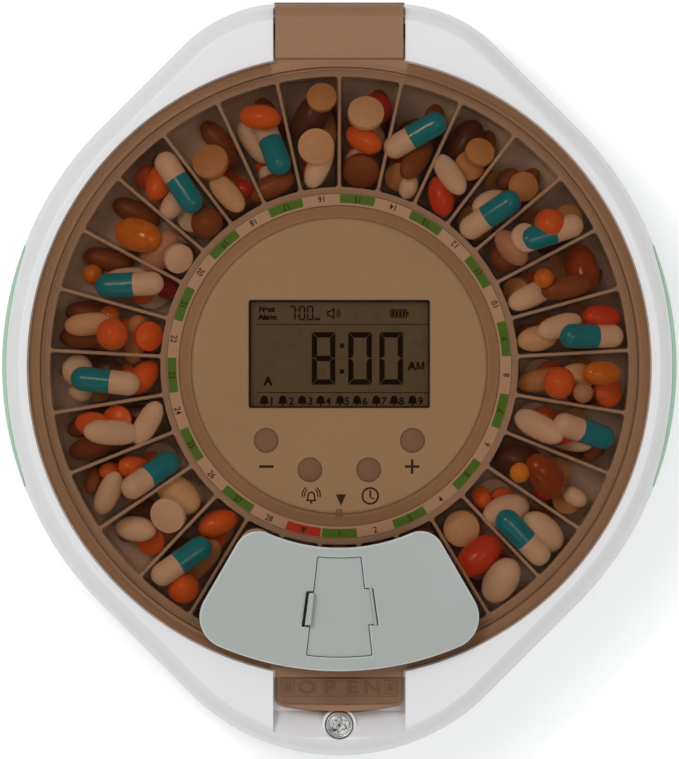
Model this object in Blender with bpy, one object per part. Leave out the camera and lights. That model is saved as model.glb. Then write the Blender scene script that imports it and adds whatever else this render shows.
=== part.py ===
"""Round electronic pill box: case, turning tray of compartments, see-through lid, display hub, lock, drive.

Metres, +Z up. The origin is in the middle of the underside, on the surface that it stands on. The nose with
the lock points to -Y and the lid's hinge is at +Y. Places are given from the tray's vertical axis.
"""
import math

import bmesh
import bpy
from mathutils import Vector

# Fits
GAP = 0.0003            # between pieces that rest on each other
RUN_GAP = 0.0005        # round a piece that moves
OVERRUN = 0.002         # how far a cutter runs past the face that it cuts
OVERLAP = 0.001         # how far a boss runs into the wall that carries it

# Outline of the case from above
BODY_RADIUS = 0.1050
NOSE_PROUD = 0.0164     # how far the nose stands out past the round body
REAR_PROUD = 0.0080     # how far the flat rear stands out past it
REAR_CORNER_RADIUS = 0.045
WALL = 0.0022

# Heights of the stack
FOOT_HEIGHT = 0.0015
TUB_HEIGHT = 0.0222
SHELL_HEIGHT = 0.0320
DRIVE_SPACE = 0.0233
DECK_THICKNESS = 0.0020
RAIL_HEIGHT = 0.0008
TRAY_HEIGHT = 0.0219
LEDGE_DEPTH = 0.0017
LID_RIM_THICKNESS = 0.0024
LID_RISE = 0.0030
LID_WALL = 0.0022

# Case surfaces
SHELL_DRAFT = 0.0016
SHOULDER_DROP = 0.0090
SHOULDER_INSET = 0.0056
TUB_SIDE_INSET = 0.0006
TUB_EDGE_INSET = 0.0050
TUB_EDGE_RISE = 0.0060
CEILING_THICKNESS = 0.0021

# Well, lid and tray seen from above
CASE_RIM = 0.0130       # from the tray's edge out to the body's
TRAY_CLEARANCE = 0.0010
LID_OVERHANG = 0.0044   # past the tray's edge
LID_CLEARANCE = 0.0006
RIDGE_OVERHANG = 0.0018
RIDGE_SLOPE = 0.0006
LID_EDGE_ROUND = 0.0010
SKIRT_THICKNESS = 0.0016

# Tray
COMPARTMENT_COUNT = 29
TRAY_RIM = 0.0022
DIVIDER = 0.0014
TRAY_FLOOR = 0.0016
POCKET_ROUND = 0.0020
HUB_RADIUS = 0.0496
HUB_CLEARANCE = 0.0005
RING_WIDTH = 0.0036
INNER_WALL = 0.0018
RING_THICKNESS = 0.0006
RING_SINK = 0.0002
FLANGE_THICKNESS = 0.0012
FLANGE_SLOPE = 0.0015
RAIL_WIDTH = 0.0025
RAIL_INSET = 0.0030

# Tray drive
TEETH_PER_COMPARTMENT = 3
PINION_TEETH = 12
GEAR_MARGIN = 0.0026    # from the hub out to the ring gear's pitch circle
PRESSURE_ANGLE = math.radians(25)
TIP_SHARE = 0.80
ROOT_SHARE = 1.00
RING_TIP_SHARE = 0.75
TOOTH_PLAY = 0.00012
GEAR_HEIGHT = 0.0060
PINION_INSET = 0.0006
SHAFT_RADIUS = 0.0020
SHAFT_SEAT = 0.0055
GEARBOX_RADIUS = 0.0140
GEARBOX_OFFSET = 0.0080
GEARBOX_HEIGHT = 0.0105
MOTOR_RADIUS = 0.0120
MOTOR_HEIGHT = 0.0090
MOTOR_BOSS_HEIGHT = 0.0027
EAR_REACH = 0.0175
EAR_RADIUS = 0.0035
EAR_THICKNESS = 0.0012

# Hub
HUB_WALL = 0.0016
HUB_RISE = 0.0012
BEZEL_WIDTH = 0.0036
FACE_THICKNESS = 0.0022
FACE_ROUND = 0.0012
FACE_SEAT = 0.0017
FACE_STAND = 0.0008
BEZEL_DROP = 0.0030
SCREEN_WIDTH = 0.0562
SCREEN_DEPTH = 0.0335
SCREEN_Y = 0.0037
SCREEN_SINK = 0.0006
SCREEN_FLANGE = 0.0018
SCREEN_FLANGE_THICKNESS = 0.0010
DISPLAY_MARGIN = 0.0022
BOARD_INSET = 0.0056
BOARD_THICKNESS = 0.0016
BOARD_DEPTH = 0.0064
RIB_WIDTH = 0.0060
RIB_LENGTH = 0.0060
RIB_ANGLE_DEG = 45
BOARD_SCREW_INSET = 0.0032
BUTTON_RADIUS = 0.0037
BUTTON_CLEARANCE = 0.0003
BUTTON_PROUD = 0.0008
BUTTON_FLANGE = 0.0012
BUTTON_FLANGE_THICKNESS = 0.0010
BUTTON_ROUND = 0.0005
BUTTON_TRAVEL = 0.0009
OUTER_BUTTON_SHARES = (0.49348, -0.50217)   # of the face's radius
INNER_BUTTON_SHARES = (0.19783, -0.70000)
SWITCH_SIZE = 0.0062
SWITCH_HEIGHT = 0.0026
SWITCH_STEM_RADIUS = 0.0017
BUZZER_RADIUS = 0.0060
BUZZER_HEIGHT = 0.0040
BUZZER_PLACE = (-0.020, -0.020)
SENSOR_DEPTH = 0.0050
SENSOR_WIDTH = 0.0060
SENSOR_HEIGHT = 0.0055
SENSOR_ANGLE_DEG = 165
SENSOR_WINDOW_MARGIN = 0.0010
PINION_WINDOW = 0.0180

# Lid hinge and front tab
REAR_TAB_WIDTH = 0.0404
HINGE_INSET = 0.0058
HINGE_DROP = 0.0056
HINGE_PIN_RADIUS = 0.0015
HINGE_PIN_GRIP = 0.0050
HINGE_BLOCK_WALL = 0.0070
FRONT_TAB_WIDTH = 0.0398
FRONT_TAB_SETBACK = 0.0138
FRONT_TAB_BOW = 0.0020
FRONT_TAB_ROUND = 0.0025
TAB_ROOT = 0.0030
SCOOP_WIDTH = 0.0410
SCOOP_DEPTH = 0.0070
SCOOP_FLOOR_SETBACK = 0.0144
SCOOP_SETBACK = 0.0064
SCOOP_MARGIN = 0.0001
LID_OPEN_DEG = 100

# Lock and latch hook
LOCK_SETBACK = 0.0101
LOCK_RADIUS = 0.0041
LOCK_WALL = 0.0007
LOCK_PLUG_RADIUS = 0.0031
LOCK_BOSS_WALL = 0.0013
LOCK_BOSS_DROP = 0.0022
LOCK_PROUD = 0.0003
LOCK_BARREL_LENGTH = 0.0088
LOCK_KEYWAY_DEPTH = 0.0015
LOCK_KEYWAY_RADIUS = 0.0021
LOCK_KEYWAY_WAIST_SHARE = 0.45
LOCK_TANG_RADIUS = 0.0015
LOCK_CLIP_RADIUS = 0.0058
LOCK_CLIP_THICKNESS = 0.0008
CAM_THICKNESS = 0.0018
CAM_WIDTH = 0.0050
CAM_LENGTH = 0.0105
HOOK_WIDTH = 0.0100
HOOK_SETBACK = 0.0133    # from the lock's axis
HOOK_THICKNESS = 0.0016
BARB_LENGTH = 0.0054
BARB_THICKNESS = 0.0017
BARB_SLOPE = 0.0003

# Dispenser plate and its door, on the lid over the front compartment
PLATE_HALF_DEG = 30.0
PLATE_INNER_MARGIN = 0.0008     # past the tray's pockets
PLATE_OUTER_MARGIN = 0.0008     # past the lid's ridge
PLATE_THICKNESS = 0.0017
PLATE_INNER_ROUND = 0.0075
PLATE_OUTER_ROUND = 0.0100
PLUG_DEPTH = 0.0026
PLUG_MARGIN = 0.0015
PLUG_INNER_INSET = 0.0015
PLUG_OUTER_INSET = 0.0033
PLUG_ROUND = 0.0070
DOOR_HALF_DEG = 6.45
DOOR_INNER_INSET = 0.0017
DOOR_OUTER_INSET = 0.0011
DOOR_ROUND = 0.0003
DOOR_THICKNESS = 0.0016
DOOR_SINK = 0.0008
DOOR_LEDGE = 0.0012
ARM_INNER_SPAN = 0.00575        # from the door's middle
ARM_OUTER_SPAN = 0.00525
DOOR_HINGE_DEG = 8.0
DOOR_HINGE_DROP = 0.0009
ARM_END = 0.0006
TRUNNION_RADIUS = 0.00055
TRUNNION_LENGTH = 0.0020
LUG_INNER_SPAN = 0.00455
LUG_OUTER_SPAN = 0.00545
LUG_NEAR_DEG = 6.25
LUG_FAR_DEG = 7.60
LUG_HEIGHT = 0.0028
LUG_SLOT = 0.0009
DOOR_OPEN_DEG = 95

# Side grips
GRIP_HALF_DEG = 21
GRIP_THICKNESS = 0.0011
GRIP_PROUD = 0.0003
GRIP_HEIGHT = 0.0190
GRIP_END_HEIGHT = 0.0015
GRIP_MARGIN = 0.0030

# Battery bay and cells
CELL_RADIUS = 0.0071
CELL_LENGTH = 0.0505
CELL_PITCH = 0.0146
CELL_NUB_RADIUS = 0.0026
CELL_NUB_LENGTH = 0.0010
CELL_ROUND = 0.0005
CELL_COUNT = 4
BAY_Y = -0.030
BAY_PLAY = 0.0006
SPRING_LENGTH = 0.0050
SPRING_WIRE = 0.0004
SPRING_WIDE = 0.0044
SPRING_NARROW = 0.0026
SPRING_TURNS = 3
CONTACT_THICKNESS = 0.0005
CONTACT_WIDTH = 0.0120
COVER_THICKNESS = 0.0018
COVER_LIP = 0.0022
COVER_AXIS_INSET = 0.0007
COVER_OPEN_DEG = 75

# Feet and screws
FOOT_RADIUS = 0.0060
FOOT_SINK = 0.0008
FOOT_INSETS = (0.045, 0.050)    # from the body's sides
CASE_SCREW_X = 0.040
CASE_SCREW_REAR_INSET = 0.0190
CASE_SCREW_FRONT_INSET = 0.0289
POST_RADIUS = 0.0040
SCREW_CLEARANCE = 0.0003
# A screw is its shank radius, head radius, head height and shank length
CASE_SCREW = (0.0014, 0.0026, 0.0018, 0.0230)
SMALL_SCREW = (0.0010, 0.0020, 0.0013, 0.0060)
HEAD_POCKET = 0.0042
POST_HOLE = 0.0100
SOUND_SLOT = (0.0120, 0.0012)
SOUND_SLOT_PITCH = 0.0030
SOUND_SLOT_COUNT = 5
SOUND_PLACE = (-0.055, 0.010)
STAR_POINTS = 5
RIB_COUNT = 4

# Small sizes of single pieces
WIRE_HOLE_RADIUS = 0.0100
RIM_BEVEL = 0.0004
TAB_STEP = 0.0001
TRUNNION_PLAY = 0.0002
SENSOR_CURVE = 0.0003
PINION_WINDOW_DEPTH = 0.0152
FACE_BEND_SHARE = 0.30
SPRING_SEAT = 0.0003
COVER_GRIP_INSET = 0.0050
COVER_GRIP_PITCH = 0.0030
COVER_GRIP_WIDTH = 0.0160
COVER_GRIP_DEPTH = 0.0008
COVER_GRIP_COUNT = 4
MOTOR_SCREW_LENGTH = 0.0040

# Smoothness
ROUND_STEPS = 60
MIDDLE_STEPS = 20
SMALL_STEPS = 12
SCREW_STEPS = 8
SIDE_STEPS = 10
CORNER_STEPS = 4
NOSE_STEPS = 8
FEW_STEPS = 3
SHARP_ANGLE = math.radians(30)
CORNER_SHARES = (0.0, 0.5, 1.0)
BOW_SHARES = (0.66, 0.33)

# Worked out from the values above
ROOT_TWO = math.sqrt(2)
FRONT_REACH = BODY_RADIUS + NOSE_PROUD
REAR_REACH = BODY_RADIUS + REAR_PROUD
CORNER_LINE = BODY_RADIUS * ROOT_TWO
NOSE_RADIUS = (CORNER_LINE - FRONT_REACH) / (ROOT_TWO - 1)
REAR_CORNER_X = CORNER_LINE - (REAR_REACH - REAR_CORNER_RADIUS) - REAR_CORNER_RADIUS * ROOT_TWO
AXIS_Y = (FRONT_REACH - REAR_REACH) / 2

TUB_BOTTOM_Z = FOOT_HEIGHT
TUB_FLOOR_Z = TUB_BOTTOM_Z + WALL
TUB_TOP_Z = TUB_BOTTOM_Z + TUB_HEIGHT
SHELL_BOTTOM_Z = TUB_TOP_Z + GAP
SHELL_TOP_Z = SHELL_BOTTOM_Z + SHELL_HEIGHT
SHOULDER_Z = SHELL_TOP_Z - SHOULDER_DROP
DECK_BOTTOM_Z = TUB_FLOOR_Z + DRIVE_SPACE
DECK_TOP_Z = DECK_BOTTOM_Z + DECK_THICKNESS
TRAY_BOTTOM_Z = DECK_TOP_Z + RAIL_HEIGHT + GAP
TRAY_TOP_Z = TRAY_BOTTOM_Z + TRAY_HEIGHT
LEDGE_Z = SHELL_TOP_Z - LEDGE_DEPTH
CEILING_Z = LEDGE_Z - CEILING_THICKNESS
LID_BOTTOM_Z = LEDGE_Z + GAP
LID_RIM_Z = LID_BOTTOM_Z + LID_RIM_THICKNESS
LID_TOP_Z = LID_RIM_Z + LID_RISE
PLATE_BOTTOM_Z = LID_TOP_Z + GAP
PLATE_TOP_Z = PLATE_BOTTOM_Z + PLATE_THICKNESS
PLUG_BOTTOM_Z = LID_TOP_Z - PLUG_DEPTH
DOOR_TOP_Z = PLATE_TOP_Z - DOOR_SINK
DOOR_BOTTOM_Z = DOOR_TOP_Z - DOOR_THICKNESS
DOOR_HINGE_Z = PLATE_TOP_Z - DOOR_HINGE_DROP

TRAY_RADIUS = BODY_RADIUS - CASE_RIM
LID_RADIUS = TRAY_RADIUS + LID_OVERHANG
RIDGE_RADIUS = TRAY_RADIUS + RIDGE_OVERHANG
WELL_RADIUS = TRAY_RADIUS + TRAY_CLEARANCE
POCKET_OUTER = TRAY_RADIUS - TRAY_RIM
TRAY_INNER = HUB_RADIUS + HUB_CLEARANCE
RING_OUTER = TRAY_INNER + RING_WIDTH
RING_TEETH = COMPARTMENT_COUNT * TEETH_PER_COMPARTMENT
GEAR_MODULE = 2 * (HUB_RADIUS + GEAR_MARGIN) / RING_TEETH
RING_PITCH_RADIUS = RING_TEETH * GEAR_MODULE / 2
RING_ROOT_RADIUS = RING_PITCH_RADIUS + ROOT_SHARE * GEAR_MODULE
RING_TIP_RADIUS = RING_PITCH_RADIUS - RING_TIP_SHARE * GEAR_MODULE
RAIL_RADIUS = RING_ROOT_RADIUS + RAIL_INSET
POCKET_INNER = max(RING_OUTER, RING_ROOT_RADIUS) + INNER_WALL
PINION_Y = RING_PITCH_RADIUS - PINION_TEETH * GEAR_MODULE / 2
GEARBOX_Y = PINION_Y + GEARBOX_OFFSET
GEARBOX_TOP_Z = DECK_BOTTOM_Z - MOTOR_BOSS_HEIGHT - GAP
GEARBOX_BOTTOM_Z = GEARBOX_TOP_Z - GEARBOX_HEIGHT
MOTOR_TOP_Z = GEARBOX_BOTTOM_Z - GAP
COMPARTMENT_ANGLE = 2 * math.pi / COMPARTMENT_COUNT

FACE_RADIUS = HUB_RADIUS - BEZEL_WIDTH
BOARD_RADIUS = HUB_RADIUS - BOARD_INSET
RIB_INNER = BOARD_RADIUS - RIB_LENGTH
BOARD_SCREW_RING = BOARD_RADIUS - BOARD_SCREW_INSET
HUB_SCREW_RING = BOARD_RADIUS
OUTER_BUTTON = tuple(FACE_RADIUS * share for share in OUTER_BUTTON_SHARES)
INNER_BUTTON = tuple(FACE_RADIUS * share for share in INNER_BUTTON_SHARES)

FACE_TOP_Z = TRAY_TOP_Z + HUB_RISE
FACE_BOTTOM_Z = FACE_TOP_Z - FACE_THICKNESS
BEZEL_TOP_Z = FACE_TOP_Z - FACE_STAND
BEZEL_EDGE_Z = BEZEL_TOP_Z - BEZEL_DROP
SEAT_Z = FACE_BOTTOM_Z - GAP
BOARD_TOP_Z = FACE_BOTTOM_Z - BOARD_DEPTH
BOARD_BOTTOM_Z = BOARD_TOP_Z - BOARD_THICKNESS
RIB_TOP_Z = BOARD_BOTTOM_Z - GAP
SCREEN_FLANGE_Z = FACE_BOTTOM_Z - GAP - SCREEN_FLANGE_THICKNESS
BUTTON_BOTTOM_Z = FACE_BOTTOM_Z - GAP - BUTTON_FLANGE_THICKNESS
SWITCH_TOP_Z = BOARD_TOP_Z + GAP + SWITCH_HEIGHT
STEM_TOP_Z = BUTTON_BOTTOM_Z - BUTTON_TRAVEL - GAP

HINGE_Y = REAR_REACH - HINGE_INSET
TAB_TOP_Z = LID_RIM_Z - TAB_STEP
TAB_BOTTOM_Z = LID_BOTTOM_Z + TAB_STEP
HINGE_Z = TAB_TOP_Z - HINGE_DROP
NOTCH_HALF = REAR_TAB_WIDTH / 2 + GAP
HINGE_BLOCK_HALF = NOTCH_HALF + HINGE_BLOCK_WALL
NOTCH_FLOOR_Z = HINGE_Z - HINGE_DROP - GAP
FRONT_TAB_REACH = FRONT_REACH - FRONT_TAB_SETBACK
FRONT_TAB_SIDE_REACH = FRONT_TAB_REACH - FRONT_TAB_BOW
SCOOP_FLOOR_REACH = FRONT_REACH - SCOOP_FLOOR_SETBACK
SCOOP_REACH = FRONT_REACH - SCOOP_SETBACK
SCOOP_START = LID_RADIUS + SCOOP_MARGIN
SCOOP_FLOOR_Z = SHELL_TOP_Z - SCOOP_DEPTH
SCOOP_CEILING_Z = SCOOP_FLOOR_Z - WALL
LOCK_REACH = FRONT_REACH - LOCK_SETBACK
HOOK_REACH = LOCK_REACH - HOOK_SETBACK
LOCK_BOSS_Z = SHELL_TOP_Z - LOCK_BOSS_DROP
LOCK_TOP_Z = LOCK_BOSS_Z + LOCK_PROUD
LOCK_BOTTOM_Z = LOCK_TOP_Z - LOCK_BARREL_LENGTH
LOCK_CLIP_TOP_Z = SCOOP_CEILING_Z - GAP
CAM_TOP_Z = LOCK_BOTTOM_Z - GAP
CAM_BOTTOM_Z = CAM_TOP_Z - CAM_THICKNESS
BARB_TOP_Z = CAM_BOTTOM_Z - GAP
HOOK_BOTTOM_Z = BARB_TOP_Z - BARB_THICKNESS

PLATE_INNER = POCKET_INNER + PLATE_INNER_MARGIN
PLATE_OUTER = RIDGE_RADIUS + PLATE_OUTER_MARGIN
PLUG_INNER = PLATE_INNER + PLUG_INNER_INSET
PLUG_OUTER = PLATE_OUTER - PLUG_OUTER_INSET
DOOR_INNER = PLUG_INNER + DOOR_INNER_INSET
DOOR_OUTER = PLUG_OUTER - DOOR_OUTER_INSET
DOOR_MIDDLE = (DOOR_INNER + DOOR_OUTER) / 2
ARM_INNER = DOOR_MIDDLE - ARM_INNER_SPAN
ARM_OUTER = DOOR_MIDDLE + ARM_OUTER_SPAN
LUG_INNER = DOOR_MIDDLE - LUG_INNER_SPAN
LUG_OUTER = DOOR_MIDDLE + LUG_OUTER_SPAN

FOOT_PLACE = tuple(BODY_RADIUS - inset for inset in FOOT_INSETS)
CASE_SCREW_REAR_Y = REAR_REACH - CASE_SCREW_REAR_INSET
CASE_SCREW_FRONT_Y = CASE_SCREW_FRONT_INSET - FRONT_REACH
CASE_SCREW_PLACES = ((CASE_SCREW_X, CASE_SCREW_REAR_Y), (CASE_SCREW_X, CASE_SCREW_FRONT_Y))

COVER_TOP_Z = TUB_BOTTOM_Z + COVER_THICKNESS
CELL_Z = COVER_TOP_Z + GAP + GAP + CELL_RADIUS
BAY_ROOF_Z = CELL_Z + CELL_RADIUS + GAP
BAY_HALF_X = (CELL_LENGTH + SPRING_LENGTH) / 2 + CONTACT_THICKNESS + GAP + GAP + GAP / 2
BAY_HALF_Y = CELL_COUNT * CELL_PITCH / 2 + BAY_PLAY
CONTACT_FACE_X = BAY_HALF_X - GAP - CONTACT_THICKNESS
COVER_HALF_X = BAY_HALF_X + COVER_LIP
COVER_HALF_Y = BAY_HALF_Y + COVER_LIP
COVER_AXIS_Y = BAY_Y + COVER_HALF_Y - COVER_AXIS_INSET
COVER_AXIS_Z = TUB_BOTTOM_Z + COVER_THICKNESS / 2

PIVOTS = {}


def clear_scene():
    """Remove every object that the file opened with."""
    for thing in list(bpy.data.objects):
        bpy.data.objects.remove(thing)


def finish(name, colour, roughness, metallic=0.0, alpha=1.0):
    """Make one piece's Principled material."""
    material = bpy.data.materials.new(name + "_finish")
    material.use_nodes = True
    shader = material.node_tree.nodes["Principled BSDF"]
    shader.inputs["Base Color"].default_value = (*colour, 1.0)
    shader.inputs["Roughness"].default_value = roughness
    shader.inputs["Metallic"].default_value = metallic
    shader.inputs["Alpha"].default_value = alpha
    return material


def empty(name, place, parent=None):
    """Make an axis that pieces are placed from."""
    axis = bpy.data.objects.new(name, None)
    bpy.context.scene.collection.objects.link(axis)
    seat_object(axis, place, parent)
    return axis


def seat_object(thing, place, parent):
    """Parent an object and put its origin at a place given from the tray's axis."""
    PIVOTS[thing.name] = Vector(place)
    thing.parent = parent
    thing.location = Vector(place) - (PIVOTS[parent.name] if parent else Vector())


def loft(rings):
    """Close a body over rings of points, each ring with the same count."""
    body = bmesh.new()
    loops = [[body.verts.new(point) for point in ring] for ring in rings]
    for low, high in zip(loops, loops[1:]):
        for index, corner in enumerate(low):
            following = (index + 1) % len(low)
            body.faces.new((corner, low[following], high[following], high[index]))
    body.faces.new(list(reversed(loops[0])))
    body.faces.new(loops[-1])
    return body


def prism(points, low, high):
    """Extrude an outline in plan between two heights."""
    return loft([[(x, y, low) for x, y in points], [(x, y, high) for x, y in points]])


def side_prism(points, half_width):
    """Extrude an outline of y and z values both ways along X."""
    return loft([[(-half_width, y, z) for y, z in points], [(half_width, y, z) for y, z in points]])


def box(x_low, x_high, y_low, y_high, low, high):
    """Make a rectangular block."""
    return prism([(x_low, y_low), (x_high, y_low), (x_high, y_high), (x_low, y_high)], low, high)


def centred_box(x, y, width, depth, low, high):
    """Make a rectangular block about a place in plan."""
    return box(x - width / 2, x + width / 2, y - depth / 2, y + depth / 2, low, high)


def circle(x, y, radius, steps, start=0.0):
    """Give the points of a circle in plan."""
    angles = [start + 2 * math.pi * step / steps for step in range(steps)]
    return [(x + radius * math.cos(angle), y + radius * math.sin(angle)) for angle in angles]


def cylinder(x, y, radius, low, high, steps=SMALL_STEPS):
    """Make an upright cylinder."""
    return prism(circle(x, y, radius, steps), low, high)


def rod(start, end, radius, steps=SMALL_STEPS):
    """Make a round rod between two points."""
    along = (Vector(end) - Vector(start)).normalized()
    across = along.orthogonal().normalized()
    upward = along.cross(across)
    ring = [across * x + upward * y for x, y in circle(0, 0, radius, steps)]
    return loft([[Vector(place) + offset for offset in ring] for place in (start, end)])


def turned(profile, steps, x=0.0, y=0.0):
    """Turn an outline of radius and height values about an upright axis; ends on the axis get flat caps."""
    body = bmesh.new()
    loops = []
    for radius, height in profile:
        if radius > 0:
            loops.append([body.verts.new((*point, height)) for point in circle(x, y, radius, steps)])
    capped = len(loops) < len(profile)
    following_loops = loops[1:] if capped else loops[1:] + loops[:1]
    for low, high in zip(loops, following_loops):
        for index in range(steps):
            following = (index + 1) % steps
            body.faces.new((low[index], low[following], high[following], high[index]))
    if capped:
        body.faces.new(list(reversed(loops[0])))
        body.faces.new(loops[-1])
    return body


def join(bodies):
    """Put several bodies into one mesh."""
    whole = bmesh.new()
    for body in bodies:
        part = bpy.data.meshes.new("part")
        bmesh.ops.recalc_face_normals(body, faces=body.faces)
        body.to_mesh(part)
        whole.from_mesh(part)
        bpy.data.meshes.remove(part)
        body.free()
    return whole


def make_object(name, bodies, place, parent):
    """Turn bodies into an object whose origin is at its place."""
    mesh = bpy.data.meshes.new(name)
    whole = join(bodies)
    bmesh.ops.translate(whole, verts=whole.verts, vec=-Vector(place))
    whole.to_mesh(mesh)
    whole.free()
    thing = bpy.data.objects.new(name, mesh)
    bpy.context.scene.collection.objects.link(thing)
    seat_object(thing, place, parent)
    return thing


def shape_with(thing, steps):
    """Add and cut bodies with one Boolean each; a cutter stays in the file as a wire guide."""
    for number, (operation, bodies) in enumerate(steps, start=1):
        guide = bodies
        if isinstance(bodies, list):
            guide = make_object(f"{thing.name}_guide_{number}", bodies, PIVOTS[thing.name], thing.parent)
        guide.hide_render = True
        guide.display_type = "WIRE"
        boolean = thing.modifiers.new(f"{operation.lower()}_{number}", "BOOLEAN")
        boolean.operation = operation
        boolean.solver = "EXACT"
        boolean.object = guide


def piece(name, bodies, material, parent, steps=(), place=(0, 0, 0)):
    """Make one named piece of the object."""
    thing = make_object(name, bodies, place, parent)
    shape_with(thing, steps)
    thing.data.materials.append(material)
    thing.data.shade_smooth()
    thing.data.set_sharp_from_angle(angle=SHARP_ANGLE)
    return thing


def case_outline(inset):
    """Give the case's outline in plan, drawn in by an inset: five arcs joined by their tangents."""
    rear = REAR_REACH - REAR_CORNER_RADIUS
    nose = NOSE_RADIUS - FRONT_REACH
    arcs = (
        (0, 0, BODY_RADIUS, -45, 45, SIDE_STEPS),
        (REAR_CORNER_X, rear, REAR_CORNER_RADIUS, 45, 90, CORNER_STEPS),
        (-REAR_CORNER_X, rear, REAR_CORNER_RADIUS, 90, 135, CORNER_STEPS),
        (0, 0, BODY_RADIUS, 135, 225, SIDE_STEPS),
        (0, nose, NOSE_RADIUS, 225, 315, NOSE_STEPS),
    )
    points = []
    for x, y, radius, start, end, steps in arcs:
        for step in range(steps + 1):
            angle = math.radians(start + (end - start) * step / steps)
            points.append((x + (radius - inset) * math.cos(angle), y + (radius - inset) * math.sin(angle)))
    return points


def case_loft(stations):
    """Loft the case's outline through pairs of inset and height."""
    return loft([[(x, y, height) for x, y in case_outline(inset)] for inset, height in stations])


def quarter_round(inset_from, inset_to, height_from, height_to):
    """Give the stations of a rounded shoulder, upright at its start and level at its end."""
    inset_run = inset_to - inset_from
    rise = height_to - height_from
    stations = []
    for step in range(FEW_STEPS + 1):
        turn = math.pi / 2 * step / FEW_STEPS
        stations.append((inset_from + inset_run * (1 - math.cos(turn)), height_from + rise * math.sin(turn)))
    return stations


def wedge(angle, half, margin, inner, outer, inner_round, outer_round, steps, arc_steps):
    """Give a rounded wedge in plan between two radii, each side drawn in by a margin from its radial line."""
    side = Vector((math.cos(half), math.sin(half)))
    inward = Vector((math.sin(half), -math.cos(half)))

    def corner(reach, rounding):
        offset = margin + rounding
        return side * math.sqrt(reach * reach - offset * offset) + inward * offset

    def arc(centre, radius, start, end, count):
        turns = [start + (end - start) * step / count for step in range(count + 1)]
        return [(centre[0] + radius * math.cos(turn), centre[1] + radius * math.sin(turn)) for turn in turns]

    near = corner(inner + inner_round, inner_round)
    far = corner(outer - outer_round, outer_round)
    near_turn = math.atan2(near.y, near.x)
    far_turn = math.atan2(far.y, far.x)
    half_points = arc((0, 0), inner, 0, near_turn, arc_steps)
    half_points += arc(near, inner_round, near_turn + math.pi, half + math.pi / 2, steps)[1:]
    half_points += arc(far, outer_round, half + math.pi / 2, far_turn, steps)
    half_points += arc((0, 0), outer, far_turn, 0, arc_steps)[1:]
    mirrored = [(x, -y) for x, y in reversed(half_points[1:-1])]
    turn = (math.cos(angle), math.sin(angle))
    return [(x * turn[0] - y * turn[1], x * turn[1] + y * turn[0]) for x, y in half_points + mirrored]


def front_wedge(half_deg, margin, inner, outer, inner_round, outer_round, steps=1, arc_steps=3):
    """Give a rounded wedge in plan that points to the nose."""
    half = math.radians(half_deg)
    return wedge(-math.pi / 2, half, margin, inner, outer, inner_round, outer_round, steps, arc_steps)


def radial_strip(near_deg, far_deg, inner, outer, near_shift=0.0, far_shift=0.0):
    """Give a strip near the nose line between two radial lines and two depths, with its sides moved in X."""
    near = math.tan(math.radians(near_deg))
    far = math.tan(math.radians(far_deg))
    points = [(inner * near + near_shift, -inner), (inner * far + far_shift, -inner)]
    return points + [(outer * far + far_shift, -outer), (outer * near + near_shift, -outer)]


def on_front(angle_deg, reach, height=0.0):
    """Give a place at a reach from the axis, turned from the nose line towards +X."""
    angle = math.radians(angle_deg)
    return Vector((reach * math.sin(angle), -reach * math.cos(angle), height))


def mirrored_places(places):
    """Give each place on both sides of the nose line."""
    return [(side * x, y) for x, y in places for side in (-1, 1)]


def screw(x, y, size, seat, direction, steps=SCREW_STEPS):
    """Make a pan-head screw whose head lies against its seat; direction is the way that its shank points."""
    shank, head, head_height, length = size
    crown = seat - direction * head_height
    profile = [(0, crown), (head, crown), (head, seat), (shank, seat), (shank, seat + direction * length)]
    profile.append((0, seat + direction * length))
    return turned(profile, steps, x, y)


def gear_outline(teeth, tip, root, play, phase, flank_steps):
    """Give an involute gear's outline; a tooth's middle points along the phase, and play thins each flank."""
    pitch = teeth * GEAR_MODULE / 2
    base = pitch * math.cos(PRESSURE_ANGLE)
    pitch_involute = math.tan(PRESSURE_ANGLE) - PRESSURE_ANGLE
    flank = []
    for step in range(flank_steps + 1):
        radius = root + (tip - root) * step / flank_steps
        slant = math.acos(min(1.0, base / radius))
        half = math.pi / (2 * teeth) + pitch_involute - (math.tan(slant) - slant) - play / pitch
        flank.append((radius, half))
    points = []
    for tooth in range(teeth):
        middle = phase + 2 * math.pi * tooth / teeth
        polar = [(radius, middle - half) for radius, half in flank]
        polar += [(radius, middle + half) for radius, half in reversed(flank)]
        points += [(radius * math.cos(angle), radius * math.sin(angle)) for radius, angle in polar]
    return points


def wall_radius(height):
    """Give the radius of the upper shell's flank at a height."""
    return BODY_RADIUS - SHELL_DRAFT * (height - SHELL_BOTTOM_Z) / (SHOULDER_Z - SHELL_BOTTOM_Z)


def grip_body(side, spread, steps=14):
    """Make a grip pad, arched along its top edge; spread enlarges it to the recess that it sits in."""
    half = math.radians(GRIP_HALF_DEG) + spread / BODY_RADIUS
    low = SHELL_BOTTOM_Z + GRIP_MARGIN - spread
    depth = GRIP_THICKNESS + spread
    proud = GRIP_PROUD if spread == 0 else OVERRUN
    rings = []
    for step in range(steps + 1):
        share = 2 * step / steps - 1
        rise = GRIP_HEIGHT - GRIP_END_HEIGHT
        high = low + GRIP_END_HEIGHT + rise * math.sqrt(1 - share * share) + 2 * spread
        angle = half * share if side > 0 else math.pi + half * share
        ring = []
        for height, offset in ((low, -depth), (low, proud), (high, proud), (high, -depth)):
            radius = wall_radius(height) + offset
            ring.append((radius * math.cos(angle), radius * math.sin(angle), height))
        rings.append(ring)
    return loft(rings)


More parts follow.
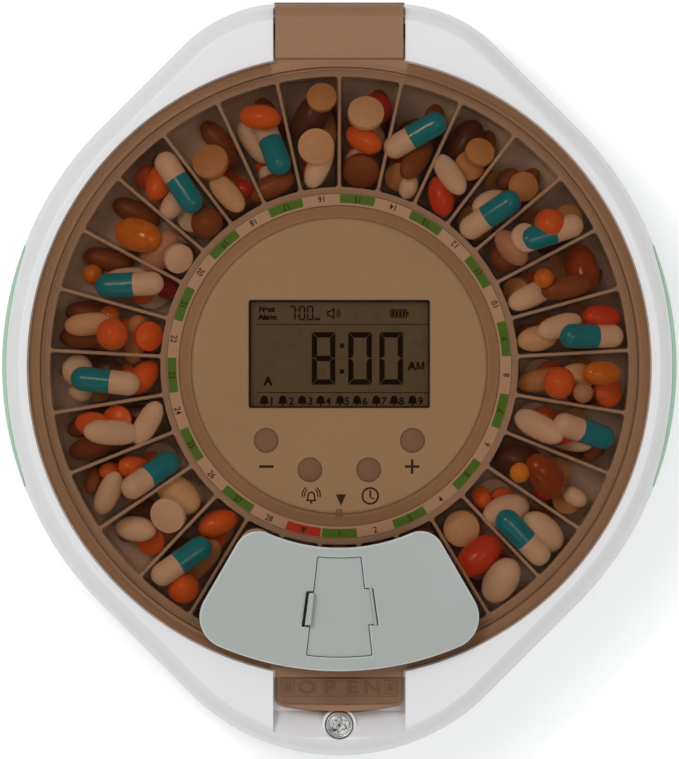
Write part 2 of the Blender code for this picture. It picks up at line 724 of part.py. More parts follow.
def shell_cavity(axis):
    """Make the hollow of the upper shell, with the well, the hinge block and the scoop's walls left solid."""
    stations = [(WALL, SHELL_BOTTOM_Z - OVERRUN), (SHELL_DRAFT + WALL, SHOULDER_Z)]
    stations.append((SHOULDER_INSET, CEILING_Z))
    cavity = make_object("shell_cavity", [case_loft(stations)], (0, 0, 0), axis)
    well = cylinder(0, 0, WELL_RADIUS + WALL, DECK_BOTTOM_Z, SHELL_TOP_Z, ROUND_STEPS)
    rear = REAR_REACH + OVERRUN
    hinge = box(-HINGE_BLOCK_HALF, HINGE_BLOCK_HALF, WELL_RADIUS, rear, NOTCH_FLOOR_Z - WALL, SHELL_TOP_Z)
    scoop_half = SCOOP_WIDTH / 2 + WALL
    front = FRONT_REACH + OVERRUN
    scoop = box(-scoop_half, scoop_half, -front, -WELL_RADIUS, SCOOP_CEILING_Z, SHELL_TOP_Z)
    shape_with(cavity, [("DIFFERENCE", [body]) for body in (well, hinge, scoop)])
    return cavity


def hinge_notch():
    """Make the cut in the shell's rear that the lid's tab and its round hinge barrel lie in."""
    barrel_front = HINGE_Y - HINGE_DROP - RUN_GAP
    top = SHELL_TOP_Z + OVERRUN
    rear = REAR_REACH + OVERRUN
    points = [(WELL_RADIUS, LEDGE_Z), (barrel_front, LEDGE_Z), (barrel_front, NOTCH_FLOOR_Z)]
    points += [(rear, NOTCH_FLOOR_Z), (rear, top), (WELL_RADIUS, top)]
    return side_prism(points, NOTCH_HALF)


def finger_scoop():
    """Make the cut in the nose under the front tab, with a floor that ramps up to the nose."""
    top = SHELL_TOP_Z + OVERRUN
    slope = (SHELL_TOP_Z - SCOOP_FLOOR_Z) / (SCOOP_REACH - SCOOP_FLOOR_REACH)
    ramp_end = SCOOP_REACH + OVERRUN / slope
    points = [(-WELL_RADIUS, LEDGE_Z), (-SCOOP_START, LEDGE_Z), (-SCOOP_START, SCOOP_FLOOR_Z)]
    points += [(-SCOOP_FLOOR_REACH, SCOOP_FLOOR_Z), (-ramp_end, top), (-WELL_RADIUS, top)]
    return side_prism(points, SCOOP_WIDTH / 2)


def front_tab_outline():
    """Give the front tab in plan: straight sides, rounded corners and a bowed front edge."""
    half = FRONT_TAB_WIDTH / 2
    bow = FRONT_TAB_REACH - FRONT_TAB_SIDE_REACH
    points = [(half, -LID_RADIUS + TAB_ROOT)]
    for turn_share in CORNER_SHARES:
        turn = math.pi / 2 * turn_share
        x = half - FRONT_TAB_ROUND * (1 - math.cos(turn))
        y = -FRONT_TAB_SIDE_REACH + FRONT_TAB_ROUND * (1 - math.sin(turn))
        points.append((x, y))
    for bow_share in BOW_SHARES:
        points.append(((half - FRONT_TAB_ROUND) * bow_share, -FRONT_TAB_REACH + bow * bow_share * bow_share))
    points.append((0, -FRONT_TAB_REACH))
    return points + [(-x, y) for x, y in reversed(points[:-1])]


def rear_tab_outline(steps=12):
    """Give the rear tab from the side: a flat slab that ends in the round hinge barrel."""
    root = LID_RADIUS - TAB_ROOT
    start = math.pi / 2
    end = -math.pi - math.asin((TAB_BOTTOM_Z - HINGE_Z) / HINGE_DROP)
    turns = [start + (end - start) * step / steps for step in range(steps + 1)]
    outline = [(root, TAB_TOP_Z)]
    for turn in turns:
        outline.append((HINGE_Y + HINGE_DROP * math.cos(turn), HINGE_Z + HINGE_DROP * math.sin(turn)))
    return outline + [(root, TAB_BOTTOM_Z)]


def build_upper_shell(axis, material):
    """Build the upper case: the rim, the well with its deck, the hinge block, the nose and the bosses."""
    stations = [(0.0, SHELL_BOTTOM_Z)] + quarter_round(SHELL_DRAFT, SHOULDER_INSET, SHOULDER_Z, SHELL_TOP_Z)
    top = SHELL_TOP_Z + OVERRUN
    rail_outer = RAIL_RADIUS + RAIL_WIDTH
    rail_low = DECK_TOP_Z - OVERLAP
    rail_high = DECK_TOP_Z + RAIL_HEIGHT
    rail = [(RAIL_RADIUS, rail_low), (rail_outer, rail_low), (rail_outer, rail_high)]
    rail.append((RAIL_RADIUS, rail_high))
    screws = mirrored_places(CASE_SCREW_PLACES)
    bosses = [cylinder(x, y, POST_RADIUS, SHELL_BOTTOM_Z, CEILING_Z + OVERLAP) for x, y in screws]
    ears = [(side * EAR_REACH, GEARBOX_Y) for side in (-1, 1)]
    ear_low = DECK_BOTTOM_Z - MOTOR_BOSS_HEIGHT
    bosses += [cylinder(x, y, EAR_RADIUS, ear_low, DECK_BOTTOM_Z + OVERLAP) for x, y in ears]
    boss_radius = LOCK_RADIUS + LOCK_BOSS_WALL
    bosses.append(cylinder(0, -LOCK_REACH, boss_radius, SCOOP_CEILING_Z, LOCK_BOSS_Z, MIDDLE_STEPS))
    case_hole = CASE_SCREW[0] + SCREW_CLEARANCE
    small_hole = SMALL_SCREW[0] + SCREW_CLEARANCE
    post_low = SHELL_BOTTOM_Z - OVERRUN
    holes = [cylinder(x, y, case_hole, post_low, SHELL_BOTTOM_Z + POST_HOLE) for x, y in screws]
    holes += [cylinder(x, y, small_hole, ear_low - OVERRUN, DECK_BOTTOM_Z + OVERLAP) for x, y in ears]
    deck_low = DECK_BOTTOM_Z - OVERRUN
    deck_high = DECK_TOP_Z + OVERRUN
    holes += [cylinder(x, y, small_hole, deck_low, deck_high) for x, y in rib_places(HUB_SCREW_RING)]
    holes.append(cylinder(0, PINION_Y, SHAFT_RADIUS + GAP, deck_low, deck_high))
    holes.append(cylinder(0, 0, WIRE_HOLE_RADIUS, deck_low, deck_high))
    holes.append(cylinder(0, -LOCK_REACH, LOCK_RADIUS + GAP, SCOOP_CEILING_Z - OVERRUN, top, MIDDLE_STEPS))
    slot_half = HOOK_WIDTH / 2 + RUN_GAP
    slot_rear = -HOOK_REACH + RUN_GAP
    slot_front = slot_rear - HOOK_THICKNESS - BARB_LENGTH - RUN_GAP - RUN_GAP
    slot_low = SCOOP_CEILING_Z - OVERRUN
    slot = box(-slot_half, slot_half, slot_front, slot_rear, slot_low, SCOOP_FLOOR_Z + OVERRUN)
    pin_half = NOTCH_HALF + HINGE_PIN_GRIP + GAP
    pin_hole = rod((-pin_half, HINGE_Y, HINGE_Z), (pin_half, HINGE_Y, HINGE_Z), HINGE_PIN_RADIUS + GAP)
    steps = [
        ("DIFFERENCE", shell_cavity(axis)),
        ("DIFFERENCE", [cylinder(0, 0, WELL_RADIUS, DECK_TOP_Z, top, ROUND_STEPS)]),
        ("DIFFERENCE", [cylinder(0, 0, LID_RADIUS + LID_CLEARANCE, LEDGE_Z, top, ROUND_STEPS)]),
        ("DIFFERENCE", [hinge_notch()]),
        ("DIFFERENCE", [finger_scoop()]),
        ("UNION", [turned(rail, ROUND_STEPS)]),
        ("UNION", bosses),
        ("DIFFERENCE", holes),
        ("DIFFERENCE", [slot]),
        ("DIFFERENCE", [pin_hole]),
        ("DIFFERENCE", [grip_body(1, GAP), grip_body(-1, GAP)]),
    ]
    return piece("upper_shell", [case_loft(stations)], material, axis, steps)


def rib_angles():
    """Give the angle of each of the hub's ribs."""
    return [math.radians(RIB_ANGLE_DEG) + 2 * math.pi * number / RIB_COUNT for number in range(RIB_COUNT)]


def rib_places(ring):
    """Give the rib places of the hub at a distance from the axis."""
    return [(ring * math.cos(angle), ring * math.sin(angle)) for angle in rib_angles()]


def build_base_tub(axis, material):
    """Build the lower case: floor, wall, battery bay, screw posts, foot recesses and sound slots."""
    edge_inset = TUB_SIDE_INSET + TUB_EDGE_INSET
    edge = quarter_round(TUB_SIDE_INSET, edge_inset, TUB_BOTTOM_Z + TUB_EDGE_RISE, TUB_BOTTOM_Z)
    stations = list(reversed(edge)) + [(GAP, TUB_TOP_Z)]
    side_inset = TUB_SIDE_INSET + WALL
    cavity = [(edge_inset + WALL, TUB_FLOOR_Z), (side_inset, TUB_FLOOR_Z + TUB_EDGE_RISE)]
    cavity.append((side_inset, TUB_TOP_Z + OVERRUN))
    margin = RUN_GAP + WALL
    block_width = 2 * (COVER_HALF_X + margin)
    block_depth = 2 * (COVER_HALF_Y + margin)
    block_low = TUB_FLOOR_Z - OVERLAP
    block = centred_box(0, BAY_Y, block_width, block_depth, block_low, BAY_ROOF_Z + WALL)
    posts = [cylinder(x, y, POST_RADIUS, block_low, TUB_TOP_Z) for x, y in mirrored_places(CASE_SCREW_PLACES)]
    below = TUB_BOTTOM_Z - OVERRUN
    recess_top = COVER_TOP_Z + GAP
    recess_width = 2 * (COVER_HALF_X + RUN_GAP)
    recess_depth = 2 * (COVER_HALF_Y + RUN_GAP)
    recess = centred_box(0, BAY_Y, recess_width, recess_depth, below, recess_top)
    bay = centred_box(0, BAY_Y, 2 * BAY_HALF_X, 2 * BAY_HALF_Y, recess_top - OVERLAP, BAY_ROOF_Z)
    head_radius = CASE_SCREW[1] + SCREW_CLEARANCE
    shank_radius = CASE_SCREW[0] + SCREW_CLEARANCE
    pocket_top = TUB_BOTTOM_Z + HEAD_POCKET
    pockets = []
    shanks = []
    for x, y in mirrored_places(CASE_SCREW_PLACES):
        pockets.append(cylinder(x, y, head_radius, below, pocket_top))
        shanks.append(cylinder(x, y, shank_radius, pocket_top - OVERLAP, TUB_TOP_Z + OVERRUN))
    for x, y in foot_places():
        pockets.append(cylinder(x, y, FOOT_RADIUS + GAP, below, TUB_BOTTOM_Z + FOOT_SINK, MIDDLE_STEPS))
    slot_length, slot_width = SOUND_SLOT
    for number in range(SOUND_SLOT_COUNT):
        y = SOUND_PLACE[1] + (number - (SOUND_SLOT_COUNT - 1) / 2) * SOUND_SLOT_PITCH
        pockets.append(centred_box(SOUND_PLACE[0], y, slot_length, slot_width, below, TUB_FLOOR_Z + OVERRUN))
    steps = [
        ("DIFFERENCE", [case_loft(cavity)]),
        ("UNION", [block] + posts),
        ("DIFFERENCE", [bay]),
        ("DIFFERENCE", [recess]),
        ("DIFFERENCE", pockets),
        ("DIFFERENCE", shanks),
    ]
    return piece("base_tub", [case_loft(stations)], material, axis, steps)


def foot_places():
    """Give the four feet's places from the tray's axis."""
    x, y = FOOT_PLACE
    return [(side * x, end * y) for side in (-1, 1) for end in (-1, 1)]


def build_lid(axis, material):
    """Build the see-through lid with its rim, ridge, skirt, two tabs, hook and the fan-shaped opening."""
    skirt = RIDGE_RADIUS - SKIRT_THICKNESS
    under = LID_TOP_Z - LID_WALL
    profile = [
        (0, under), (skirt - LID_EDGE_ROUND, under), (skirt, under - LID_EDGE_ROUND), (skirt, LID_BOTTOM_Z),
        (LID_RADIUS, LID_BOTTOM_Z), (LID_RADIUS, LID_RIM_Z - RIM_BEVEL), (LID_RADIUS - RIM_BEVEL, LID_RIM_Z),
        (RIDGE_RADIUS + RIDGE_SLOPE, LID_RIM_Z), (RIDGE_RADIUS, LID_TOP_Z - LID_EDGE_ROUND),
        (RIDGE_RADIUS - LID_EDGE_ROUND, LID_TOP_Z), (0, LID_TOP_Z),
    ]
    shank_front = -HOOK_REACH - HOOK_THICKNESS
    barb_front = shank_front - BARB_LENGTH
    hook = [(-HOOK_REACH, LID_BOTTOM_Z + OVERLAP), (-HOOK_REACH, HOOK_BOTTOM_Z), (barb_front, HOOK_BOTTOM_Z)]
    hook += [(barb_front, BARB_TOP_Z - BARB_SLOPE), (shank_front, BARB_TOP_Z)]
    hook.append((shank_front, LID_BOTTOM_Z + OVERLAP))
    inner = PLUG_INNER - GAP
    outer = PLUG_OUTER + GAP
    opening = front_wedge(PLATE_HALF_DEG, PLUG_MARGIN, inner, outer, PLUG_ROUND, PLUG_ROUND, 4, 5)
    half = REAR_TAB_WIDTH / 2
    pin_half = half + OVERRUN
    pin_hole = rod((-pin_half, HINGE_Y, HINGE_Z), (pin_half, HINGE_Y, HINGE_Z), HINGE_PIN_RADIUS + GAP)
    steps = [
        ("UNION", [side_prism(rear_tab_outline(), half)]),
        ("UNION", [prism(front_tab_outline(), TAB_BOTTOM_Z, TAB_TOP_Z)]),
        ("UNION", [side_prism(hook, HOOK_WIDTH / 2)]),
        ("DIFFERENCE", [prism(opening, PLUG_BOTTOM_Z - OVERRUN, LID_TOP_Z + OVERRUN)]),
        ("DIFFERENCE", [pin_hole]),
    ]
    return piece("lid", [turned(profile, ROUND_STEPS)], material, axis, steps, (0, HINGE_Y, HINGE_Z))


def build_dispenser_plate(axis, material):
    """Build the fan-shaped plate, its plug in the lid's opening and the stepped pocket for the door."""
    rounds = (PLATE_INNER_ROUND, PLATE_OUTER_ROUND)
    flange = front_wedge(PLATE_HALF_DEG, 0.0, PLATE_INNER, PLATE_OUTER, *rounds, 5, 6)
    plug_round = PLUG_ROUND - GAP
    rounds = (plug_round, plug_round)
    plug = front_wedge(PLATE_HALF_DEG, PLUG_MARGIN + GAP, PLUG_INNER, PLUG_OUTER, *rounds, 4, 5)
    rounds = (DOOR_ROUND, DOOR_ROUND)
    pocket = front_wedge(DOOR_HALF_DEG, -GAP, DOOR_INNER - GAP, DOOR_OUTER + GAP, *rounds)
    opening_inner = DOOR_INNER + DOOR_LEDGE
    opening_outer = DOOR_OUTER - DOOR_LEDGE
    opening = front_wedge(DOOR_HALF_DEG, DOOR_LEDGE, opening_inner, opening_outer, *rounds)
    floor = DOOR_BOTTOM_Z - GAP
    above = PLATE_TOP_Z + OVERRUN
    arm_side = ARM_END + GAP
    arm = radial_strip(0, DOOR_HINGE_DEG, ARM_INNER - GAP, ARM_OUTER + GAP, 0.0, arm_side)
    lug = radial_strip(-LUG_FAR_DEG, 0, LUG_INNER - RUN_GAP, LUG_OUTER + RUN_GAP, -LUG_SLOT)
    slot = radial_strip(-LUG_FAR_DEG, -LUG_NEAR_DEG, LUG_INNER - RUN_GAP, LUG_OUTER + RUN_GAP, -LUG_SLOT)
    pin_inner = on_front(DOOR_HINGE_DEG, ARM_INNER - TRUNNION_LENGTH - GAP, DOOR_HINGE_Z)
    pin_outer = on_front(DOOR_HINGE_DEG, ARM_OUTER + TRUNNION_LENGTH + GAP, DOOR_HINGE_Z)
    steps = [
        ("UNION", [prism(plug, PLUG_BOTTOM_Z, PLATE_BOTTOM_Z + OVERLAP)]),
        ("DIFFERENCE", [prism(pocket, floor, above)]),
        ("DIFFERENCE", [prism(arm, floor, above)]),
        ("DIFFERENCE", [prism(lug, floor, above)]),
        ("DIFFERENCE", [prism(slot, PLUG_BOTTOM_Z - OVERRUN, floor + OVERLAP)]),
        ("DIFFERENCE", [prism(opening, PLUG_BOTTOM_Z - OVERRUN, floor + OVERLAP)]),
        ("DIFFERENCE", [rod(pin_inner, pin_outer, TRUNNION_RADIUS + TRUNNION_PLAY)]),
    ]
    body = prism(flange, PLATE_BOTTOM_Z, PLATE_TOP_Z)
    return piece("dispenser_plate", [body], material, axis, steps, (0, HINGE_Y, HINGE_Z))


def build_dispensing_door(axis, material):
    """Build the small door: panel, hinge arm with its trunnions, and the upstanding finger lug."""
    panel = front_wedge(DOOR_HALF_DEG, 0.0, DOOR_INNER, DOOR_OUTER, DOOR_ROUND, DOOR_ROUND)
    arm = radial_strip(0, DOOR_HINGE_DEG, ARM_INNER, ARM_OUTER, 0.0, ARM_END)
    lug = radial_strip(-LUG_FAR_DEG, -LUG_NEAR_DEG, LUG_INNER, LUG_OUTER)
    pin_inner = on_front(DOOR_HINGE_DEG, ARM_INNER - TRUNNION_LENGTH, DOOR_HINGE_Z)
    pin_outer = on_front(DOOR_HINGE_DEG, ARM_OUTER + TRUNNION_LENGTH, DOOR_HINGE_Z)
    steps = [
        ("UNION", [prism(arm, DOOR_BOTTOM_Z, DOOR_TOP_Z)]),
        ("UNION", [prism(lug, DOOR_BOTTOM_Z, DOOR_TOP_Z + LUG_HEIGHT)]),
        ("UNION", [rod(pin_inner, pin_outer, TRUNNION_RADIUS)]),
    ]
    place = on_front(DOOR_HINGE_DEG, (ARM_INNER + ARM_OUTER) / 2, DOOR_HINGE_Z)
    return piece("dispensing_door", [prism(panel, DOOR_BOTTOM_Z, DOOR_TOP_Z)], material, axis, steps, place)


def build_pill_tray(axis, material):
    """Build the turning tray: compartments, the seat for the day ring and the internal gear."""
    seat = TRAY_TOP_Z - RING_THICKNESS - RING_SINK
    flange_low = seat - FLANGE_THICKNESS
    gear_top = TRAY_BOTTOM_Z + GEAR_HEIGHT
    wall_inner = RING_ROOT_RADIUS
    profile = [
        (TRAY_RADIUS, TRAY_BOTTOM_Z), (TRAY_RADIUS, TRAY_TOP_Z), (RING_OUTER, TRAY_TOP_Z), (RING_OUTER, seat),
        (TRAY_INNER, seat), (TRAY_INNER, flange_low), (wall_inner, flange_low - FLANGE_SLOPE),
        (wall_inner, gear_top), (RING_TIP_RADIUS, gear_top), (RING_TIP_RADIUS, TRAY_BOTTOM_Z),
    ]
    floor = TRAY_BOTTOM_Z + TRAY_FLOOR
    half = COMPARTMENT_ANGLE / 2
    pockets = []
    for number in range(COMPARTMENT_COUNT):
        angle = -math.pi / 2 + number * COMPARTMENT_ANGLE
        rounds = (POCKET_ROUND, POCKET_ROUND)
        outline = wedge(angle, half, DIVIDER / 2, POCKET_INNER, POCKET_OUTER, *rounds, 1, 1)
        pockets.append(prism(outline, floor, TRAY_TOP_Z + OVERRUN))
    phase = math.pi / 2
    tips = RING_TIP_RADIUS - TOOTH_PLAY
    spaces = gear_outline(RING_TEETH, RING_ROOT_RADIUS, tips, -TOOTH_PLAY, phase, 1)
    steps = [
        ("DIFFERENCE", pockets),
        ("DIFFERENCE", [prism(spaces, TRAY_BOTTOM_Z - OVERRUN, gear_top + OVERLAP)]),
    ]
    return piece("pill_tray", [turned(profile, RING_TEETH)], material, axis, steps)


def build_drive(axis, steel, plastic, brass):
    """Build the gearbox and motor under the deck and the pinion that turns the tray."""
    low = TRAY_BOTTOM_Z + PINION_INSET
    high = TRAY_BOTTOM_Z + GEAR_HEIGHT - PINION_INSET
    pitch = PINION_TEETH * GEAR_MODULE / 2
    tip = pitch + TIP_SHARE * GEAR_MODULE
    root = pitch - ROOT_SHARE * GEAR_MODULE
    outline = gear_outline(PINION_TEETH, tip, root, TOOTH_PLAY, math.pi / 2, FEW_STEPS)
    gear = prism([(x, y + PINION_Y) for x, y in outline], low, high)
    shaft_low = GEARBOX_TOP_Z - SHAFT_SEAT
    shaft = cylinder(0, PINION_Y, SHAFT_RADIUS, shaft_low, high + OVERLAP)
    piece("drive_pinion", [gear], brass, axis, [("UNION", [shaft])], (0, PINION_Y, low))
    box_body = cylinder(0, GEARBOX_Y, GEARBOX_RADIUS, GEARBOX_BOTTOM_Z, GEARBOX_TOP_Z, MIDDLE_STEPS)
    ear_low = GEARBOX_TOP_Z - EAR_THICKNESS
    ear_bar = centred_box(0, GEARBOX_Y, 2 * EAR_REACH, 2 * EAR_RADIUS, ear_low, GEARBOX_TOP_Z)
    ear_ends = [cylinder(side * EAR_REACH, GEARBOX_Y, EAR_RADIUS, ear_low, GEARBOX_TOP_Z) for side in (-1, 1)]
    hole_radius = SMALL_SCREW[0] + SCREW_CLEARANCE
    above = GEARBOX_TOP_Z + OVERRUN
    holes = [cylinder(side * EAR_REACH, GEARBOX_Y, hole_radius, ear_low - OVERRUN, above) for side in (-1, 1)]
    holes.append(cylinder(0, PINION_Y, SHAFT_RADIUS + GAP, shaft_low - GAP, above))
    steps = [("UNION", [ear_bar]), ("UNION", ear_ends), ("DIFFERENCE", holes)]
    piece("gearbox", [box_body], steel, axis, steps)
    motor_low = MOTOR_TOP_Z - MOTOR_HEIGHT
    motor_profile = [(0, motor_low), (MOTOR_RADIUS - RIM_BEVEL, motor_low)]
    motor_profile += [(MOTOR_RADIUS, motor_low + RIM_BEVEL), (MOTOR_RADIUS, MOTOR_TOP_Z), (0, MOTOR_TOP_Z)]
    piece("drive_motor", [turned(motor_profile, MIDDLE_STEPS, 0, GEARBOX_Y)], steel, axis)
    sensor_outer = HUB_RADIUS - HUB_WALL - GAP
    sensor_low = DECK_TOP_Z + GAP
    half = SENSOR_WIDTH / 2
    sides = (sensor_outer - SENSOR_DEPTH, sensor_outer - SENSOR_CURVE)
    sensor = box(*sides, -half, half, sensor_low, sensor_low + SENSOR_HEIGHT)
    turn_body(sensor, math.radians(SENSOR_ANGLE_DEG))
    piece("index_sensor", [sensor], plastic, axis)


def turn_body(body, angle):
    """Turn a body about the tray's axis."""
    for corner in body.verts:
        x, y, z = corner.co
        turned_x = x * math.cos(angle) - y * math.sin(angle)
        corner.co = (turned_x, x * math.sin(angle) + y * math.cos(angle), z)


def build_hub(axis, materials):
    """Build the hub: case, face, window, display, board, switches, sounder and the four keys."""
    inner = HUB_RADIUS - HUB_WALL
    bottom = DECK_TOP_Z + GAP
    ledge = FACE_RADIUS - FACE_SEAT
    profile = [
        (HUB_RADIUS, bottom), (HUB_RADIUS, BEZEL_EDGE_Z), (FACE_RADIUS + GAP, BEZEL_TOP_Z),
        (FACE_RADIUS + GAP, SEAT_Z), (ledge, SEAT_Z), (ledge, SEAT_Z - FACE_SEAT),
        (inner, SEAT_Z - FACE_SEAT - FACE_SEAT), (inner, bottom),
    ]
    small_hole = SMALL_SCREW[0] + SCREW_CLEARANCE
    ribs = []
    for angle in rib_angles():
        rib = box(RIB_INNER, inner + OVERLAP, -RIB_WIDTH / 2, RIB_WIDTH / 2, bottom, RIB_TOP_Z)
        turn_body(rib, angle)
        ribs.append(rib)
    hole_depth = SMALL_SCREW[3] + OVERLAP
    rib_hole_low = RIB_TOP_Z - hole_depth
    below = bottom - OVERRUN
    holes = []
    for x, y in rib_places(BOARD_SCREW_RING):
        holes.append(cylinder(x, y, small_hole, rib_hole_low, RIB_TOP_Z + OVERRUN))
    for x, y in rib_places(HUB_SCREW_RING):
        holes.append(cylinder(x, y, small_hole, below, bottom + hole_depth))
    window_top = TRAY_BOTTOM_Z + GEAR_HEIGHT
    pinion_window = centred_box(0, HUB_RADIUS, PINION_WINDOW, PINION_WINDOW_DEPTH, below, window_top)
    sensor_half = SENSOR_WIDTH / 2 - SENSOR_WINDOW_MARGIN
    sensor_low = bottom + SENSOR_WINDOW_MARGIN
    sensor_top = bottom + SENSOR_HEIGHT - SENSOR_WINDOW_MARGIN
    sides = (inner - OVERRUN, HUB_RADIUS + OVERRUN)
    sensor_window = box(*sides, -sensor_half, sensor_half, sensor_low, sensor_top)
    turn_body(sensor_window, math.radians(SENSOR_ANGLE_DEG))
    steps = [("UNION", ribs), ("DIFFERENCE", holes), ("DIFFERENCE", [pinion_window, sensor_window])]
    piece("hub_case", [turned(profile, ROUND_STEPS)], materials["bezel"], axis, steps)

    face_profile = [
        (0, FACE_BOTTOM_Z), (FACE_RADIUS, FACE_BOTTOM_Z), (FACE_RADIUS, FACE_TOP_Z - FACE_ROUND),
        (FACE_RADIUS - FACE_ROUND * FACE_BEND_SHARE, FACE_TOP_Z - FACE_ROUND * FACE_BEND_SHARE),
        (FACE_RADIUS - FACE_ROUND, FACE_TOP_Z), (0, FACE_TOP_Z),
    ]
    below = FACE_BOTTOM_Z - OVERRUN
    above = FACE_TOP_Z + OVERRUN
    cuts = [centred_box(0, SCREEN_Y, SCREEN_WIDTH, SCREEN_DEPTH, below, above)]
    hole_radius = BUTTON_RADIUS + BUTTON_CLEARANCE
    cuts += [cylinder(x, y, hole_radius, below, above, MIDDLE_STEPS) for x, y in button_places().values()]
    piece("hub_face", [turned(face_profile, ROUND_STEPS)], materials["face"], axis, [("DIFFERENCE", cuts)])

    flange_width = SCREEN_WIDTH + 2 * SCREEN_FLANGE
    flange_depth = SCREEN_DEPTH + 2 * SCREEN_FLANGE
    flange_top = FACE_BOTTOM_Z - GAP
    flange = centred_box(0, SCREEN_Y, flange_width, flange_depth, SCREEN_FLANGE_Z, flange_top)
    pane_width = SCREEN_WIDTH - 2 * GAP
    pane_depth = SCREEN_DEPTH - 2 * GAP
    pane = centred_box(0, SCREEN_Y, pane_width, pane_depth, SCREEN_FLANGE_Z + GAP, FACE_TOP_Z - SCREEN_SINK)
    piece("lcd_window", [flange], materials["clear"], axis, [("UNION", [pane])])
    display_width = SCREEN_WIDTH + 2 * DISPLAY_MARGIN
    display_depth = SCREEN_DEPTH + 2 * DISPLAY_MARGIN
    display = centred_box(0, SCREEN_Y, display_width, display_depth, BOARD_TOP_Z + GAP, SCREEN_FLANGE_Z - GAP)
    piece("lcd_module", [display], materials["display"], axis)

    board_holes = []
    for x, y in rib_places(BOARD_SCREW_RING):
        board_holes.append(cylinder(x, y, small_hole, BOARD_BOTTOM_Z - OVERRUN, BOARD_TOP_Z + OVERRUN))
    board = cylinder(0, 0, BOARD_RADIUS, BOARD_BOTTOM_Z, BOARD_TOP_Z, MIDDLE_STEPS)
    piece("main_board", [board], materials["board"], axis, [("DIFFERENCE", board_holes)])

    for name, (x, y) in button_places().items():
        switch = centred_box(x, y, SWITCH_SIZE, SWITCH_SIZE, BOARD_TOP_Z + GAP, SWITCH_TOP_Z)
        stem = cylinder(x, y, SWITCH_STEM_RADIUS, SWITCH_TOP_Z - OVERLAP, STEM_TOP_Z, SCREW_STEPS)
        piece(name.replace("button", "tact_switch"), [switch], materials["black"], axis, [("UNION", [stem])])
    buzzer_top = BOARD_BOTTOM_Z - GAP
    buzzer = cylinder(*BUZZER_PLACE, BUZZER_RADIUS, buzzer_top - BUZZER_HEIGHT, buzzer_top, MIDDLE_STEPS)
    piece("buzzer", [buzzer], materials["black"], axis)

    button_top = FACE_TOP_Z + BUTTON_PROUD
    flange_top = BUTTON_BOTTOM_Z + BUTTON_FLANGE_THICKNESS
    flange_radius = BUTTON_RADIUS + BUTTON_FLANGE
    button_profile = [
        (0, BUTTON_BOTTOM_Z), (flange_radius, BUTTON_BOTTOM_Z), (flange_radius, flange_top),
        (BUTTON_RADIUS, flange_top), (BUTTON_RADIUS, button_top - BUTTON_ROUND),
        (BUTTON_RADIUS - BUTTON_ROUND, button_top), (0, button_top),
    ]
    for name, (x, y) in button_places().items():
        key = turned(button_profile, MIDDLE_STEPS, x, y)
        piece(name, [key], materials["button"], axis, (), (x, y, BUTTON_BOTTOM_Z))


def button_places():
    """Give each key's place on the hub face."""
    return {
        "button_minus": (-OUTER_BUTTON[0], OUTER_BUTTON[1]),
        "button_alarm": (-INNER_BUTTON[0], INNER_BUTTON[1]),
        "button_clock": INNER_BUTTON,
        "button_plus": OUTER_BUTTON,
    }


def star(x, y, radius, waist):
    """Give a star's outline in plan."""
    corners = []
    for number in range(2 * STAR_POINTS):
        reach = waist if number % 2 else radius
        angle = math.pi / 2 + math.pi * number / STAR_POINTS
        corners.append((x + reach * math.cos(angle), y + reach * math.sin(angle)))
    return corners


def build_lock(axis, metal):
    """Build the lock in the nose: barrel, clip, turning plug with its star keyway, and the cam under it."""
    y = -LOCK_REACH
    bore = LOCK_RADIUS - LOCK_WALL
    barrel = [(bore, LOCK_BOTTOM_Z), (LOCK_RADIUS, LOCK_BOTTOM_Z), (LOCK_RADIUS, LOCK_TOP_Z)]
    barrel.append((bore, LOCK_TOP_Z))
    piece("lock_barrel", [turned(barrel, MIDDLE_STEPS, 0, y)], metal, axis)
    clip_low = LOCK_CLIP_TOP_Z - LOCK_CLIP_THICKNESS
    clip_inner = LOCK_RADIUS + GAP
    clip = [(clip_inner, clip_low), (LOCK_CLIP_RADIUS, clip_low), (LOCK_CLIP_RADIUS, LOCK_CLIP_TOP_Z)]
    clip.append((clip_inner, LOCK_CLIP_TOP_Z))
    mouth_front = y - LOCK_CLIP_RADIUS - OVERRUN
    mouth = box(-clip_inner, clip_inner, mouth_front, y, clip_low - OVERRUN, LOCK_CLIP_TOP_Z + OVERRUN)
    piece("lock_clip", [turned(clip, MIDDLE_STEPS, 0, y)], metal, axis, [("DIFFERENCE", [mouth])])
    plug_top = LOCK_TOP_Z - GAP
    plug = [(0, CAM_BOTTOM_Z), (LOCK_TANG_RADIUS, CAM_BOTTOM_Z), (LOCK_TANG_RADIUS, LOCK_BOTTOM_Z)]
    plug += [(LOCK_PLUG_RADIUS, LOCK_BOTTOM_Z), (LOCK_PLUG_RADIUS, plug_top), (0, plug_top)]
    waist = LOCK_KEYWAY_RADIUS * LOCK_KEYWAY_WAIST_SHARE
    keyway_outline = star(0, y, LOCK_KEYWAY_RADIUS, waist)
    steps = [("DIFFERENCE", [prism(keyway_outline, plug_top - LOCK_KEYWAY_DEPTH, plug_top + OVERRUN)])]
    place = (0, y, CAM_BOTTOM_Z)
    piece("lock_plug", [turned(plug, MIDDLE_STEPS, 0, y)], metal, axis, steps, place)
    tip = CAM_LENGTH - CAM_WIDTH / 2
    outline = [(tip + x, y + depth) for x, depth in half_circle(CAM_WIDTH / 2)]
    outline += [(-x, y - depth) for x, depth in half_circle(CAM_WIDTH / 2)]
    tang = cylinder(0, y, LOCK_TANG_RADIUS + GAP, CAM_BOTTOM_Z - OVERRUN, CAM_TOP_Z + OVERRUN)
    cam = prism(outline, CAM_BOTTOM_Z, CAM_TOP_Z)
    piece("lock_cam", [cam], metal, axis, [("DIFFERENCE", [tang])], place)


